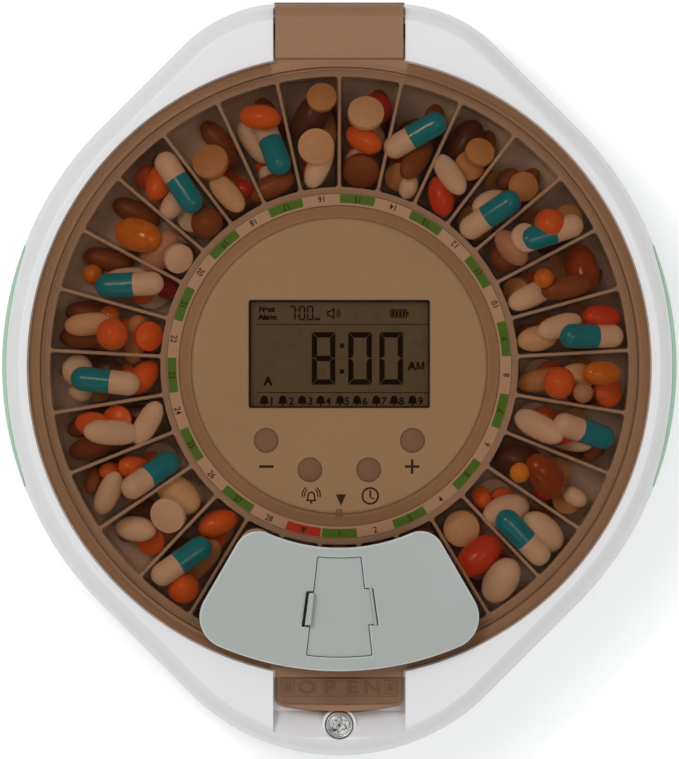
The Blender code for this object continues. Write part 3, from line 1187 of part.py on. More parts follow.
def half_circle(radius, steps=6):
    """Give the half of a circle that lies towards +X."""
    turns = [-math.pi / 2 + math.pi * step / steps for step in range(steps + 1)]
    return [(radius * math.cos(turn), radius * math.sin(turn)) for turn in turns]


def lie_along_x(body, x, y, z, direction):
    """Lay an upright body along X, with its foot at a place."""
    for corner in body.verts:
        across, depth, height = corner.co
        corner.co = (x + direction * height, y + across, z + direction * depth)


def build_power(axis, materials):
    """Build the four cells, their springs and contact plates, and the cover in the underside."""
    foot = CELL_LENGTH - CELL_NUB_LENGTH
    cell_profile = [
        (0, 0), (CELL_RADIUS - CELL_ROUND, 0), (CELL_RADIUS, CELL_ROUND), (CELL_RADIUS, foot - CELL_ROUND),
        (CELL_RADIUS - CELL_ROUND, foot), (CELL_NUB_RADIUS, foot), (CELL_NUB_RADIUS, CELL_LENGTH),
        (0, CELL_LENGTH),
    ]
    for number in range(CELL_COUNT):
        direction = 1 if number % 2 else -1
        cell = turned(cell_profile, SMALL_STEPS)
        lie_along_x(cell, direction * (CONTACT_FACE_X - GAP - CELL_LENGTH), cell_y(number), CELL_Z, direction)
        piece(f"aa_cell_{number + 1}", [cell], materials["cell"], axis)
    build_contact("contact_link_1", -1, 0, 1, 1, materials["steel"], axis)
    build_contact("contact_link_2", -1, 2, 3, 3, materials["steel"], axis)
    build_contact("contact_link_3", 1, 1, 2, 2, materials["steel"], axis)
    build_contact("contact_negative", 1, 0, 0, 0, materials["steel"], axis)
    build_contact("contact_positive", 1, 3, 3, None, materials["steel"], axis)
    cover = centred_box(0, BAY_Y, 2 * COVER_HALF_X, 2 * COVER_HALF_Y, TUB_BOTTOM_Z, COVER_TOP_Z)
    below = TUB_BOTTOM_Z - OVERRUN
    grip_top = TUB_BOTTOM_Z + COVER_GRIP_DEPTH
    grips = []
    for number in range(COVER_GRIP_COUNT):
        y = BAY_Y - COVER_HALF_Y + COVER_GRIP_INSET + number * COVER_GRIP_PITCH
        grips.append(centred_box(0, y, COVER_GRIP_WIDTH, COVER_GRIP_DEPTH, below, grip_top))
    place = (0, COVER_AXIS_Y, COVER_AXIS_Z)
    piece("battery_cover", [cover], materials["white"], axis, [("DIFFERENCE", grips)], place)


def cell_y(number):
    """Give a cell's place across the bay."""
    return BAY_Y + (number - (CELL_COUNT - 1) / 2) * CELL_PITCH


def build_contact(name, side, first, last, sprung, material, axis):
    """Build a contact plate over one or two cell ends, with a coil where it presses on a cell's flat end."""
    middle = side * (CONTACT_FACE_X + CONTACT_THICKNESS / 2)
    y_low = cell_y(first) - CONTACT_WIDTH / 2
    y_high = cell_y(last) + CONTACT_WIDTH / 2
    thin = CONTACT_THICKNESS / 2
    low = CELL_Z - CONTACT_WIDTH / 2
    plate = box(middle - thin, middle + thin, y_low, y_high, low, low + CONTACT_WIDTH)
    steps = []
    if sprung is not None:
        spring = coil(SPRING_WIDE, SPRING_NARROW, SPRING_LENGTH, SPRING_TURNS, SPRING_WIRE)
        lie_along_x(spring, side * (CONTACT_FACE_X + SPRING_SEAT), cell_y(sprung), CELL_Z, -side)
        steps.append(("UNION", [spring]))
    piece(name, [plate], material, axis, steps)


def coil(wide, narrow, length, turns, wire, steps=8):
    """Make a tapering coil of square wire that climbs along Z from its wide end."""
    count = turns * steps
    rings = []
    for step in range(count + 1):
        share = step / count
        angle = 2 * math.pi * turns * share
        radius = wide + (narrow - wide) * share
        height = wire + (length - 2 * wire) * share
        ring = []
        for outward, upward in ((-wire, 0), (0, -wire), (wire, 0), (0, wire)):
            reach = radius + outward
            ring.append((reach * math.cos(angle), reach * math.sin(angle), height + upward))
        rings.append(ring)
    return loft(rings)


def build_fasteners(axis, materials):
    """Build the hinge pin, the feet and the four kinds of screw."""
    pin_half = NOTCH_HALF + HINGE_PIN_GRIP
    pin = rod((-pin_half, HINGE_Y, HINGE_Z), (pin_half, HINGE_Y, HINGE_Z), HINGE_PIN_RADIUS)
    piece("hinge_pin", [pin], materials["steel"], axis)
    foot_top = TUB_BOTTOM_Z + FOOT_SINK - GAP
    for number, (x, y) in enumerate(foot_places(), start=1):
        foot = cylinder(x, y, FOOT_RADIUS, 0.0, foot_top, MIDDLE_STEPS)
        piece(f"rubber_foot_{number}", [foot], materials["rubber"], axis)
    motor_size = (SMALL_SCREW[0], SMALL_SCREW[1], SMALL_SCREW[2], MOTOR_SCREW_LENGTH)
    ears = [(side * EAR_REACH, GEARBOX_Y) for side in (-1, 1)]
    kinds = (
        ("case_screw", mirrored_places(CASE_SCREW_PLACES), CASE_SCREW, TUB_BOTTOM_Z + HEAD_POCKET - GAP, 1),
        ("hub_screw", rib_places(HUB_SCREW_RING), SMALL_SCREW, DECK_BOTTOM_Z - GAP, 1),
        ("board_screw", rib_places(BOARD_SCREW_RING), SMALL_SCREW, BOARD_TOP_Z + GAP, -1),
        ("motor_screw", ears, motor_size, GEARBOX_TOP_Z - EAR_THICKNESS - GAP, 1),
    )
    for name, places, size, seat, direction in kinds:
        for number, (x, y) in enumerate(places, start=1):
            piece(f"{name}_{number}", [screw(x, y, size, seat, direction)], materials["steel"], axis)


def build_day_ring(axis, material):
    """Build the numbered ring that lies in the tray's inner seat."""
    low = TRAY_TOP_Z - RING_THICKNESS - RING_SINK + GAP
    high = TRAY_TOP_Z - RING_SINK + GAP
    inner = TRAY_INNER + GAP
    outer = RING_OUTER - GAP
    profile = [(inner, low), (outer, low), (outer, high), (inner, high)]
    piece("day_ring", [turned(profile, 2 * COMPARTMENT_COUNT)], material, axis)


def build():
    """Build every piece about the tray's axis."""
    clear_scene()
    axis = empty("tray_axis", (0, 0, 0))
    axis.location = (0, AXIS_Y, 0)
    lid_axis = empty("lid_hinge_axis", (0, HINGE_Y, HINGE_Z), axis)
    white = finish("white_shell", (0.74, 0.75, 0.75), 0.42)
    grey = finish("grey_plate", (0.36, 0.39, 0.37), 0.45)
    brown = finish("brown_clear", (0.30, 0.17, 0.09), 0.12, 0.0, 0.45)
    steel = finish("steel", (0.55, 0.55, 0.56), 0.32, 1.0)
    lock_metal = finish("lock_metal", (0.50, 0.50, 0.50), 0.28, 1.0)
    materials = {
        "white": white,
        "steel": steel,
        "bezel": finish("hub_bezel", (0.56, 0.57, 0.50), 0.45),
        "face": finish("hub_face", (0.68, 0.70, 0.60), 0.40),
        "clear": finish("clear_window", (0.60, 0.64, 0.60), 0.08, 0.0, 0.35),
        "display": finish("display", (0.20, 0.22, 0.20), 0.30),
        "board": finish("green_board", (0.02, 0.15, 0.06), 0.50),
        "black": finish("black_plastic", (0.02, 0.02, 0.02), 0.45),
        "button": finish("grey_rubber", (0.43, 0.40, 0.39), 0.60),
        "cell": finish("cell_sleeve", (0.05, 0.05, 0.06), 0.35),
        "rubber": finish("foot_rubber", (0.05, 0.05, 0.05), 0.80),
    }
    build_upper_shell(axis, white)
    build_base_tub(axis, white)
    grip = finish("green_grip", (0.47, 0.68, 0.52), 0.55)
    piece("side_grip_right", [grip_body(1, 0.0)], grip, axis)
    piece("side_grip_left", [grip_body(-1, 0.0)], grip, axis)
    build_hub(axis, materials)
    build_pill_tray(axis, finish("white_tray", (0.75, 0.74, 0.70), 0.40))
    build_day_ring(axis, finish("ring_card", (0.70, 0.70, 0.62), 0.55))
    build_drive(axis, steel, materials["black"], finish("acetal_gear", (0.80, 0.79, 0.74), 0.40))
    build_lid(lid_axis, brown)
    build_dispenser_plate(lid_axis, grey)
    build_dispensing_door(lid_axis, grey)
    build_lock(axis, lock_metal)
    build_power(axis, materials)
    build_fasteners(axis, materials)


build()
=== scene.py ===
"""Dressed model of a round electronic pill box: turning tray under a smoky lid, display hub, grips and lock.

Every shape is drawn in millimetres about the tray's upright axis, and one function moves it into the frame.
"""
import logging
import math
from dataclasses import dataclass
from enum import Enum
from typing import Callable, Iterable, Sequence

import bmesh
import bpy
from mathutils import Matrix, Vector


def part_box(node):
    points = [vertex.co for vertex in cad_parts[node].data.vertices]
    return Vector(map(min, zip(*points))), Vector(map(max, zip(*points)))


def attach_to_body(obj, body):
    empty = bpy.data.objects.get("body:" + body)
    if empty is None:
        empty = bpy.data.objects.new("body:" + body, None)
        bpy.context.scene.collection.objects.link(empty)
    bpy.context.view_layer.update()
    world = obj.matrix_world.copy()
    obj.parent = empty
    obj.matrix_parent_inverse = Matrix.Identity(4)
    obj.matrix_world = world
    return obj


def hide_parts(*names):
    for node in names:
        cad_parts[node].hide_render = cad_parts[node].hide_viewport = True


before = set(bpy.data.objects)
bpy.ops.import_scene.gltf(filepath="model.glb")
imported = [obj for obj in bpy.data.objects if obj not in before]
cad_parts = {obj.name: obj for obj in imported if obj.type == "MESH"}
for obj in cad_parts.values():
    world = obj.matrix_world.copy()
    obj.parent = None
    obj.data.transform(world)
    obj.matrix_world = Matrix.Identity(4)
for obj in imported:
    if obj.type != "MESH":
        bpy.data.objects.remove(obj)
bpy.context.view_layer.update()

LOG = logging.getLogger("pill_box")
Point = tuple[float, float]
MM = 0.001
AXIS_Y_MM = 4.2
TAU = 2 * math.pi
CELLS = 29
CELL_TURN = TAU / CELLS


# Colour and nodes

def linear(code: str) -> tuple[float, float, float, float]:
    """Turn an sRGB hex value into a linear colour.

    Args:
        code: six hex digits.

    Returns:
        Linear red, green, blue and an alpha of 1.
    """
    parts = [int(code[index:index + 2], 16) / 255 for index in (0, 2, 4)]
    return (*[part / 12.92 if part <= 0.04045 else ((part + 0.055) / 1.055) ** 2.4 for part in parts], 1.0)


def add_node(tree: bpy.types.NodeTree, kind: str, settings: dict | None = None, links: dict | None = None) -> bpy.types.Node:
    """Add one node with its settings and links.

    Args:
        tree: the tree that gets the node.
        kind: the node's type name.
        settings: properties by name, and input values by socket name or number.
        links: the output sockets that feed its inputs, by socket name or number.

    Returns:
        The new node.
    """
    node = tree.nodes.new(kind)
    for key, value in (settings or {}).items():
        if isinstance(key, str) and hasattr(node, key):
            setattr(node, key, value)
        else:
            node.inputs[key].default_value = value
    for key, socket in (links or {}).items():
        tree.links.new(socket, node.inputs[key])
    return node


class Finish:
    """A surface finish; each kind draws its own node tree once."""

    name: str

    def material(self) -> bpy.types.Material:
        """Give the finish's material, made on first use."""
        found = bpy.data.materials.get(self.name)
        if found:
            return found
        made = bpy.data.materials.new(self.name)
        made.use_nodes = True
        made.node_tree.nodes.clear()
        output = made.node_tree.nodes.new("ShaderNodeOutputMaterial")
        made.node_tree.links.new(self.shader(made), output.inputs["Surface"])
        return made

    def shader(self, made: bpy.types.Material) -> bpy.types.NodeSocket:
        """Draw the nodes and give the surface socket."""
        raise NotImplementedError


def mottled(tree: bpy.types.NodeTree, size_mm: float, low: float, high: float, detail: float = 2.0,
            stretch: Point = (1.0, 1.0)) -> bpy.types.NodeSocket:
    """Add an uneven value that wanders over a surface, in Object coordinates.

    Args:
        tree: the material's tree.
        size_mm: size of one spot.
        low: the value in the spots' valleys.
        high: the value on their peaks.
        detail: octaves of finer spots.
        stretch: how much longer the spots are along X and Y.

    Returns:
        The value's socket.
    """
    place = add_node(tree, "ShaderNodeTexCoord").outputs["Object"]
    scale = (1 / stretch[0], 1 / stretch[1], 1.0)
    place = add_node(tree, "ShaderNodeMapping", {"Scale": scale}, {"Vector": place}).outputs[0]
    spots = add_node(tree, "ShaderNodeTexNoise", {"Scale": 1 / (size_mm * MM), "Detail": detail}, {"Vector": place})
    settings = {"From Min": 0.3, "From Max": 0.7, "To Min": low, "To Max": high}
    return add_node(tree, "ShaderNodeMapRange", settings, {"Value": spots.outputs[0]}).outputs["Result"]


def two_toned(tree: bpy.types.NodeTree, size_mm: float, first: str, second: str, detail: float = 3.0) -> bpy.types.NodeSocket:
    """Let two sRGB hex colours run into each other in spots of a size."""
    share = mottled(tree, size_mm, 0.0, 1.0, detail)
    settings = {"data_type": "RGBA", 6: linear(first), 7: linear(second)}
    return add_node(tree, "ShaderNodeMix", settings, {0: share}).outputs[2]


def grained(tree: bpy.types.NodeTree, size_mm: float, depth_mm: float, detail: float = 2.0,
            stretch: Point = (1.0, 1.0)) -> bpy.types.NodeSocket:
    """Raise a fine grain of a size and depth, and give its normal."""
    height = mottled(tree, size_mm, 0.3, 0.7, detail, stretch)
    return add_node(tree, "ShaderNodeBump", {"Strength": 1.0, "Distance": depth_mm * MM}, {"Height": height}).outputs[0]


@dataclass(frozen=True)
class MouldedPlastic(Finish):
    """Injection-moulded ABS: a fine spark-eroded grain, slight flow tone and uneven sheen."""

    name: str
    colour: str
    shade: str
    roughness: float = 0.42
    grain_mm: float = 0.45
    grain_depth_mm: float = 0.010
    gloss_coat: float = 0.0
    glow_through: float = 0.0

    def shader(self, made: bpy.types.Material) -> bpy.types.NodeSocket:
        """Draw the tone, sheen and grain."""
        tree = made.node_tree
        rough = mottled(tree, 6.0, self.roughness - 0.05, self.roughness + 0.06, 4.0)
        settings = {"IOR": 1.53, "Coat Weight": self.gloss_coat, "Coat Roughness": 0.18}
        if self.glow_through:
            settings.update({"Subsurface Weight": self.glow_through, "Subsurface Scale": 0.006, "Subsurface Radius": (1.0, 0.9, 0.8)})
        links = {"Base Color": two_toned(tree, 38.0, self.colour, self.shade), "Roughness": rough,
                 "Normal": grained(tree, self.grain_mm, self.grain_depth_mm)}
        return add_node(tree, "ShaderNodeBsdfPrincipled", settings, links).outputs[0]


@dataclass(frozen=True)
class SoftRubber(Finish):
    """Silicone or TPE moulding: matt, with a faint bloom and a fine pebble."""

    name: str
    colour: str
    shade: str
    roughness: float = 0.62
    pebble_mm: float = 0.7
    depth_mm: float = 0.03

    def shader(self, made: bpy.types.Material) -> bpy.types.NodeSocket:
        """Draw the bloom and the pebble."""
        tree = made.node_tree
        place = add_node(tree, "ShaderNodeTexCoord").outputs["Object"]
        settings = {"Scale": 1 / (self.pebble_mm * MM), "feature": "SMOOTH_F1"}
        pebble = add_node(tree, "ShaderNodeTexVoronoi", settings, {"Vector": place}).outputs["Distance"]
        raised = add_node(tree, "ShaderNodeBump", {"Strength": 1.0, "Distance": self.depth_mm * MM}, {"Height": pebble})
        links = {"Base Color": two_toned(tree, 9.0, self.colour, self.shade, 4.0), "Normal": raised.outputs[0]}
        settings = {"Roughness": self.roughness, "IOR": 1.45, "Sheen Weight": 0.12, "Sheen Roughness": 0.5}
        return add_node(tree, "ShaderNodeBsdfPrincipled", settings, links).outputs[0]


@dataclass(frozen=True)
class SmokyClear(Finish):
    """Tinted clear polycarbonate: each wall takes the same share of light, with moulded gloss and faint haze."""

    name: str
    tint: str
    body: str
    body_share: float = 0.03
    roughness: float = 0.09
    gloss_ior: float = 1.30

    def shader(self, made: bpy.types.Material) -> bpy.types.NodeSocket:
        """Draw the clear wall, its haze and its gloss."""
        tree = made.node_tree
        ripple = grained(tree, 14.0, 0.012, 1.0)
        clear = add_node(tree, "ShaderNodeBsdfTransparent", {"Color": linear(self.tint)}).outputs[0]
        haze = add_node(tree, "ShaderNodeBsdfDiffuse", {"Color": linear(self.body)}, {"Normal": ripple}).outputs[0]
        scratch = mottled(tree, 1.6, self.roughness, self.roughness + 0.06, 3.0, (1.0, 9.0))
        gloss = add_node(tree, "ShaderNodeBsdfGlossy", {"Color": (1, 1, 1, 1)}, {"Roughness": scratch, "Normal": ripple})
        wall = add_node(tree, "ShaderNodeMixShader", {0: self.body_share}, {1: clear, 2: haze}).outputs[0]
        edge = add_node(tree, "ShaderNodeFresnel", {"IOR": self.gloss_ior}, {"Normal": ripple}).outputs[0]
        return add_node(tree, "ShaderNodeMixShader", None, {0: edge, 1: wall, 2: gloss.outputs[0]}).outputs[0]


@dataclass(frozen=True)
class MachinedMetal(Finish):
    """Plated or machined metal: turning marks and a worn, uneven polish."""

    name: str
    colour: str
    shade: str
    roughness: float = 0.28
    mark_mm: float = 0.35
    depth_mm: float = 0.006

    def shader(self, made: bpy.types.Material) -> bpy.types.NodeSocket:
        """Draw the plating's tone and the marks."""
        tree = made.node_tree
        rough = mottled(tree, self.mark_mm, self.roughness - 0.06, self.roughness + 0.10, 3.0, (1.0, 6.0))
        links = {"Base Color": two_toned(tree, 2.2, self.colour, self.shade, 4.0), "Roughness": rough,
                 "Normal": grained(tree, self.mark_mm, self.depth_mm, 3.0, (1.0, 6.0))}
        return add_node(tree, "ShaderNodeBsdfPrincipled", {"Metallic": 1.0}, links).outputs[0]


@dataclass(frozen=True)
class PrintedInk(Finish):
    """Pad-printed ink: flat colour that lies a little unevenly."""

    name: str
    colour: str
    shade: str
    roughness: float = 0.5
    ior: float = 1.45

    def shader(self, made: bpy.types.Material) -> bpy.types.NodeSocket:
        """Draw the ink's tone."""
        tree = made.node_tree
        links = {"Base Color": two_toned(tree, 0.8, self.colour, self.shade), "Normal": grained(tree, 0.3, 0.004)}
        return add_node(tree, "ShaderNodeBsdfPrincipled", {"Roughness": self.roughness, "IOR": self.ior}, links).outputs[0]


@dataclass(frozen=True)
class TabletCoat(Finish):
    """Pressed tablet with a thin film coat: chalky speckle under a soft sheen."""

    name: str
    colour: str
    shade: str
    roughness: float = 0.45
    speckle_mm: float = 0.5
    glow: float = 0.0
    coat: float = 0.1

    def shader(self, made: bpy.types.Material) -> bpy.types.NodeSocket:
        """Draw the speckle, the coat and, for a gelatine shell, the light that passes into it."""
        tree = made.node_tree
        settings = {"Roughness": self.roughness, "IOR": 1.38, "Coat Weight": self.coat, "Coat Roughness": 0.1}
        if self.glow:
            settings.update({"Subsurface Weight": self.glow, "Subsurface Scale": 0.0015})
        links = {"Base Color": two_toned(tree, self.speckle_mm, self.colour, self.shade),
                 "Normal": grained(tree, 0.35, 0.015)}
        return add_node(tree, "ShaderNodeBsdfPrincipled", settings, links).outputs[0]


@dataclass(frozen=True)
class CircuitBoard(Finish):
    """Glass-epoxy board under green solder resist: fine tracks show as lighter lines."""

    name: str = "solder_resist_board"
    colour: str = "0B4A26"
    track: str = "1C6A3A"

    def shader(self, made: bpy.types.Material) -> bpy.types.NodeSocket:
        """Draw the tracks."""
        tree = made.node_tree
        place = add_node(tree, "ShaderNodeTexCoord").outputs["Object"]
        settings = {"Scale": 1 / (2.4 * MM), "feature": "DISTANCE_TO_EDGE"}
        edge = add_node(tree, "ShaderNodeTexVoronoi", settings, {"Vector": place}).outputs["Distance"]
        settings = {"From Min": 0.02, "From Max": 0.06, "To Min": 1.0, "To Max": 0.0}
        share = add_node(tree, "ShaderNodeMapRange", settings, {"Value": edge}).outputs["Result"]
        settings = {"data_type": "RGBA", 6: linear(self.colour), 7: linear(self.track)}
        green = add_node(tree, "ShaderNodeMix", settings, {0: share}).outputs[2]
        raised = add_node(tree, "ShaderNodeBump", {"Strength": 1.0, "Distance": 0.02 * MM}, {"Height": share})
        links = {"Base Color": green, "Normal": raised.outputs[0]}
        return add_node(tree, "ShaderNodeBsdfPrincipled", {"Roughness": 0.35, "IOR": 1.5}, links).outputs[0]


# Case: white ABS, grain as on handheld care devices
WHITE_ABS = MouldedPlastic("moulded_white_abs", "E9E8E8", "E5E4E5", 0.40, 0.5, 0.008)
# Underside: the same resin with a coarser tool grain
TUB_ABS = MouldedPlastic("moulded_white_abs_underside", "E2E4E4", "DCDFDF", 0.48, 0.8, 0.02)
# Tray: natural white ABS without texture, so that light passes a little
TRAY_ABS = MouldedPlastic("moulded_natural_tray_resin", "C4C1BC", "BDB9B2", 0.34, 0.9, 0.006, 0.1, 0.6)
# Compartments: the polished inside of the same tray, painted lighter than the tray as painted light, so that the deep
# compartments look lit; its subsurface share also passes a little light through the walls
POCKET_PAINTED_LIGHT = MouldedPlastic("compartment_resin_painted_light", "F8F6F2", "F4F1EB", 0.28, 1.2, 0.004, 0.15, 1.0)
GREY_ABS = MouldedPlastic("moulded_grey_abs", "A8ACA9", "A2A7A3", 0.42, 0.5, 0.010)
# Rounded top rims of the grey parts in a lighter grey: a painted highlight where the rims catch the light
GREY_EDGE_HIGHLIGHT = MouldedPlastic("grey_abs_edge_painted_highlight", "C8CDC9", "C2C7C3", 0.3, 0.5, 0.004)
# Hub: pale warm grey resin around the face
HUB_ABS = MouldedPlastic("moulded_hub_ring_abs", "C2BAA7", "BAB29F", 0.44, 0.5, 0.008)
FACE_ABS = MouldedPlastic("moulded_hub_face_abs", "D7DCCC", "D1D6C6", 0.38, 0.6, 0.006)
BLACK_ABS = MouldedPlastic("moulded_black_abs", "141414", "1D1D1E", 0.45, 0.5, 0.010)
ACETAL = MouldedPlastic("moulded_acetal", "E8E4DA", "DDD8CC", 0.36, 0.7, 0.006)
GRIP_TPE = SoftRubber("soft_green_tpe", "A7D6B3", "9CCDA9", 0.55, 0.8, 0.035)
KEY_SILICONE = SoftRubber("grey_key_silicone", "AFA9A7", "A6A09D", 0.55, 0.5, 0.012)
FOOT_RUBBER = SoftRubber("black_foot_rubber", "1A1A1A", "242424", 0.75, 0.6, 0.03)
SMOKY_LID = SmokyClear("smoky_brown_polycarbonate", "E7D8CC", "8A5A38", 0.003, 0.07, 1.10)
# Lid flange: the same resin with a darker tint, partly for the longer path through the flange and partly painted shade
# of the ledge and gap under it
SMOKY_RIM_DEPTH_AND_SHADE = SmokyClear("smoky_brown_polycarbonate_flange_depth_and_shade", "DCCCBD", "8A5A38", 0.005, 0.09, 1.10)
# Raised letters: thin, so they hardly tint
SMOKY_RELIEF = SmokyClear("smoky_brown_polycarbonate_relief", "F5F1EE", "8A5A38", 0.0, 0.12, 1.10)
# Cores of the tabs: pale resin behind a clear skin
CORE_ABS = MouldedPlastic("moulded_pale_brown_core", "B79F8B", "B19985", 0.4, 0.6, 0.006)
CLEAR_PANE = SmokyClear("clear_display_acrylic", "F6F7F4", "E8E8E0", 0.001, 0.05, 1.10)
STEEL = MachinedMetal("nickel_plated_steel", "C9C9CB", "B2B2B5", 0.27)
LOCK_NICKEL = MachinedMetal("polished_nickel_lock", "CFCFCD", "A2A2A1", 0.34, 0.3, 0.004)
ZINC = MachinedMetal("zinc_plated_can", "BDBDC2", "A3A5AA", 0.34, 0.6, 0.008)
BRASS = MachinedMetal("brass_shaft", "D3B46A", "B99750", 0.30)
SPRING_STEEL = MachinedMetal("bright_spring_steel", "D5D5D8", "BDBEC2", 0.22)
LCD_GLASS = MouldedPlastic("display_back_film", "878C82", "81867D", 0.30, 2.0, 0.002, 0.3)
LCD_INK = PrintedInk("display_segment_ink", "191613", "1F1B18", 0.6, 1.15)
PRINT_DARK = PrintedInk("dark_print_ink", "37312B", "3E3832")
RING_GREEN = PrintedInk("green_ring_card", "5DB147", "56A841", 0.55)
RING_CREAM = PrintedInk("cream_ring_card", "E6E4E1", "DFDDD9", 0.55)
RING_RED = PrintedInk("red_ring_card", "E24A40", "D8423A", 0.55)
RING_INK = PrintedInk("ring_number_ink", "33302C", "3A3733", 0.5)
SLEEVE = PrintedInk("battery_sleeve_film", "23262B", "2A2D33", 0.28)
SLEEVE_BAND = PrintedInk("battery_sleeve_band", "C98A3A", "C08233", 0.28)
BOARD = CircuitBoard()


# Meshes

def arc(centre: Point, radius: float, start: float, end: float, steps: int) -> list[Point]:
    """Give points along an arc, both ends included; angles in radians."""
    turns = [start + (end - start) * step / steps for step in range(steps + 1)]
    return [(centre[0] + radius * math.cos(turn), centre[1] + radius * math.sin(turn)) for turn in turns]


def ring(radius: float, steps: int, centre: Point = (0.0, 0.0), start: float = 0.0) -> list[Point]:
    """Give the points of a full circle."""
    return arc(centre, radius, start, start + TAU, steps)[:-1]


def inset(points: Sequence[Point], amount: float) -> list[Point]:
    """Draw a counter-clockwise outline in by an amount, or out by a negative one."""
    moved = []
    for index, (x, y) in enumerate(points):
        back, ahead = points[index - 1], points[(index + 1) % len(points)]
        first = Vector((x - back[0], y - back[1])).normalized()
        second = Vector((ahead[0] - x, ahead[1] - y)).normalized()
        share = amount / max(0.4, 1 + first.dot(second))
        moved.append((x - (first.y + second.y) * share, y + (first.x + second.x) * share))
    return moved


def rounded(corners: Sequence[tuple[float, float, float]], steps: int = 6) -> list[Point]:
    """Round the corners of a counter-clockwise outline.

    Args:
        corners: x, y and corner radius of each corner.
        steps: pieces of each corner's arc.

    Returns:
        The outline's points.
    """
    points = []
    for index, (x, y, radius) in enumerate(corners):
        here = Vector((x, y))
        back = (Vector(corners[index - 1][:2]) - here).normalized()
        ahead = (Vector(corners[(index + 1) % len(corners)][:2]) - here).normalized()
        angle = back.angle(ahead)
        if radius <= 0 or abs(angle - math.pi) < 1e-4:
            points.append((x, y))
            continue
        centre = here + (back + ahead).normalized() * (radius / math.sin(angle / 2))
        start, end = here + back * (radius / math.tan(angle / 2)), here + ahead * (radius / math.tan(angle / 2))
        first = math.atan2(start.y - centre.y, start.x - centre.x)
        last = math.atan2(end.y - centre.y, end.x - centre.x)
        sweep = (last - first + math.pi) % TAU - math.pi
        points += arc(centre, radius, first, first + sweep, steps)
    return points


def rectangle(x: float, y: float, width: float, depth: float, radius: float = 0.0, steps: int = 5) -> list[Point]:
    """Give a rectangle's outline about a place, with rounded corners."""
    left, right, low, high = x - width / 2, x + width / 2, y - depth / 2, y + depth / 2
    return rounded([(left, low, radius), (right, low, radius), (right, high, radius), (left, high, radius)], steps)


def loft(rings: Sequence[Sequence[Sequence[float]]], capped: bool = True) -> bmesh.types.BMesh:
    """Close a body over rings of 3D points with equal counts; without caps the last ring joins the first."""
    body = bmesh.new()
    loops = [[body.verts.new(point) for point in ring_points] for ring_points in rings]
    for low, high in zip(loops, loops[1:] if capped else loops[1:] + loops[:1]):
        for index in range(len(low)):
            following = (index + 1) % len(low)
            body.faces.new((low[index], low[following], high[following], high[index]))
    if capped:
        body.faces.new(loops[0][::-1])
        body.faces.new(loops[-1])
    return body


def stack(stations: Iterable[tuple[Sequence[Point], float]]) -> bmesh.types.BMesh:
    """Loft plan outlines that lie at their heights."""
    return loft([[(x, y, height) for x, y in outline] for outline, height in stations])


def slab(outline: Sequence[Point], low: float, high: float, top: float = 0.0, bottom: float = 0.0,
         steps: int = 3, flare: float = 0.0) -> bmesh.types.BMesh:
    """Make a plate with rounded edges.

    Args:
        outline: counter-clockwise plan outline.
        low: height of its underside.
        high: height of its top.
        top: radius of the top edge.
        bottom: radius of the lower edge.
        steps: pieces of each edge's arc.
        flare: how far the top opens out over its last millimetres, for a cutter that leaves a chamfer.

    Returns:
        The closed plate.
    """
    stations = []
    turns = [math.pi / 2 * step / steps for step in range(steps + 1)]
    if bottom:
        stations += [(inset(outline, bottom * (1 - math.sin(turn))), low + bottom * (1 - math.cos(turn))) for turn in turns]
    else:
        stations.append((outline, low))
    if top:
        stations += [(inset(outline, top * (1 - math.cos(turn))), high - top * (1 - math.sin(turn))) for turn in turns]
    elif flare:
        stations += [(outline, high - 2 * flare), (inset(outline, -flare), high - flare), (inset(outline, -flare), high)]
    else:
        stations.append((outline, high))
    return stack(stations)


def lathe(profile: Sequence[Point], steps: int = 128, x: float = 0.0, y: float = 0.0) -> bmesh.types.BMesh:
    """Turn a closed outline of radius and height about an upright axis; ends on the axis become poles."""
    body = bmesh.new()
    loops = []
    for radius, height in profile:
        if radius <= 0:
            loops.append([body.verts.new((x, y, height))])
        else:
            loops.append([body.verts.new((px, py, height)) for px, py in ring(radius, steps, (x, y))])
    closed = all(len(loop) > 1 for loop in loops)
    for low, high in zip(loops, loops[1:] + (loops[:1] if closed else [])):
        for index in range(steps):
            following = (index + 1) % steps
            corners = [low[index % len(low)], low[following % len(low)], high[following % len(high)], high[index % len(high)]]
            unique = list(dict.fromkeys(corners))
            if len(unique) > 2:
                body.faces.new(unique)
    bmesh.ops.recalc_face_normals(body, faces=body.faces)
    return body


def bar(outline: Sequence[Point], width: float, low: float, high: float, edge: float = 0.0) -> bmesh.types.BMesh:
    """Make a closed bar that runs along the inside of an outline."""
    rise = min(edge, (high - low) / 2)
    section = [(0.0, low), (0.0, high - rise), (rise, high), (width - rise, high), (width, high - rise), (width, low)]
    return loft([[(x, y, height) for x, y in inset(outline, offset)] for offset, height in section], False)


def rod(start: Sequence[float], end: Sequence[float], radius: float, steps: int = 24) -> bmesh.types.BMesh:
    """Make a round rod between two points."""
    along = (Vector(end) - Vector(start)).normalized()
    across = along.orthogonal().normalized()
    upward = along.cross(across)
    offsets = [across * x + upward * y for x, y in ring(radius, steps)]
    return loft([[Vector(place) + offset for offset in offsets] for place in (start, end)])


def side_slab(points: Sequence[Point], half_width: float) -> bmesh.types.BMesh:
    """Extrude an outline of y and z values both ways along X."""
    return loft([[(-half_width, y, z) for y, z in points], [(half_width, y, z) for y, z in points]])


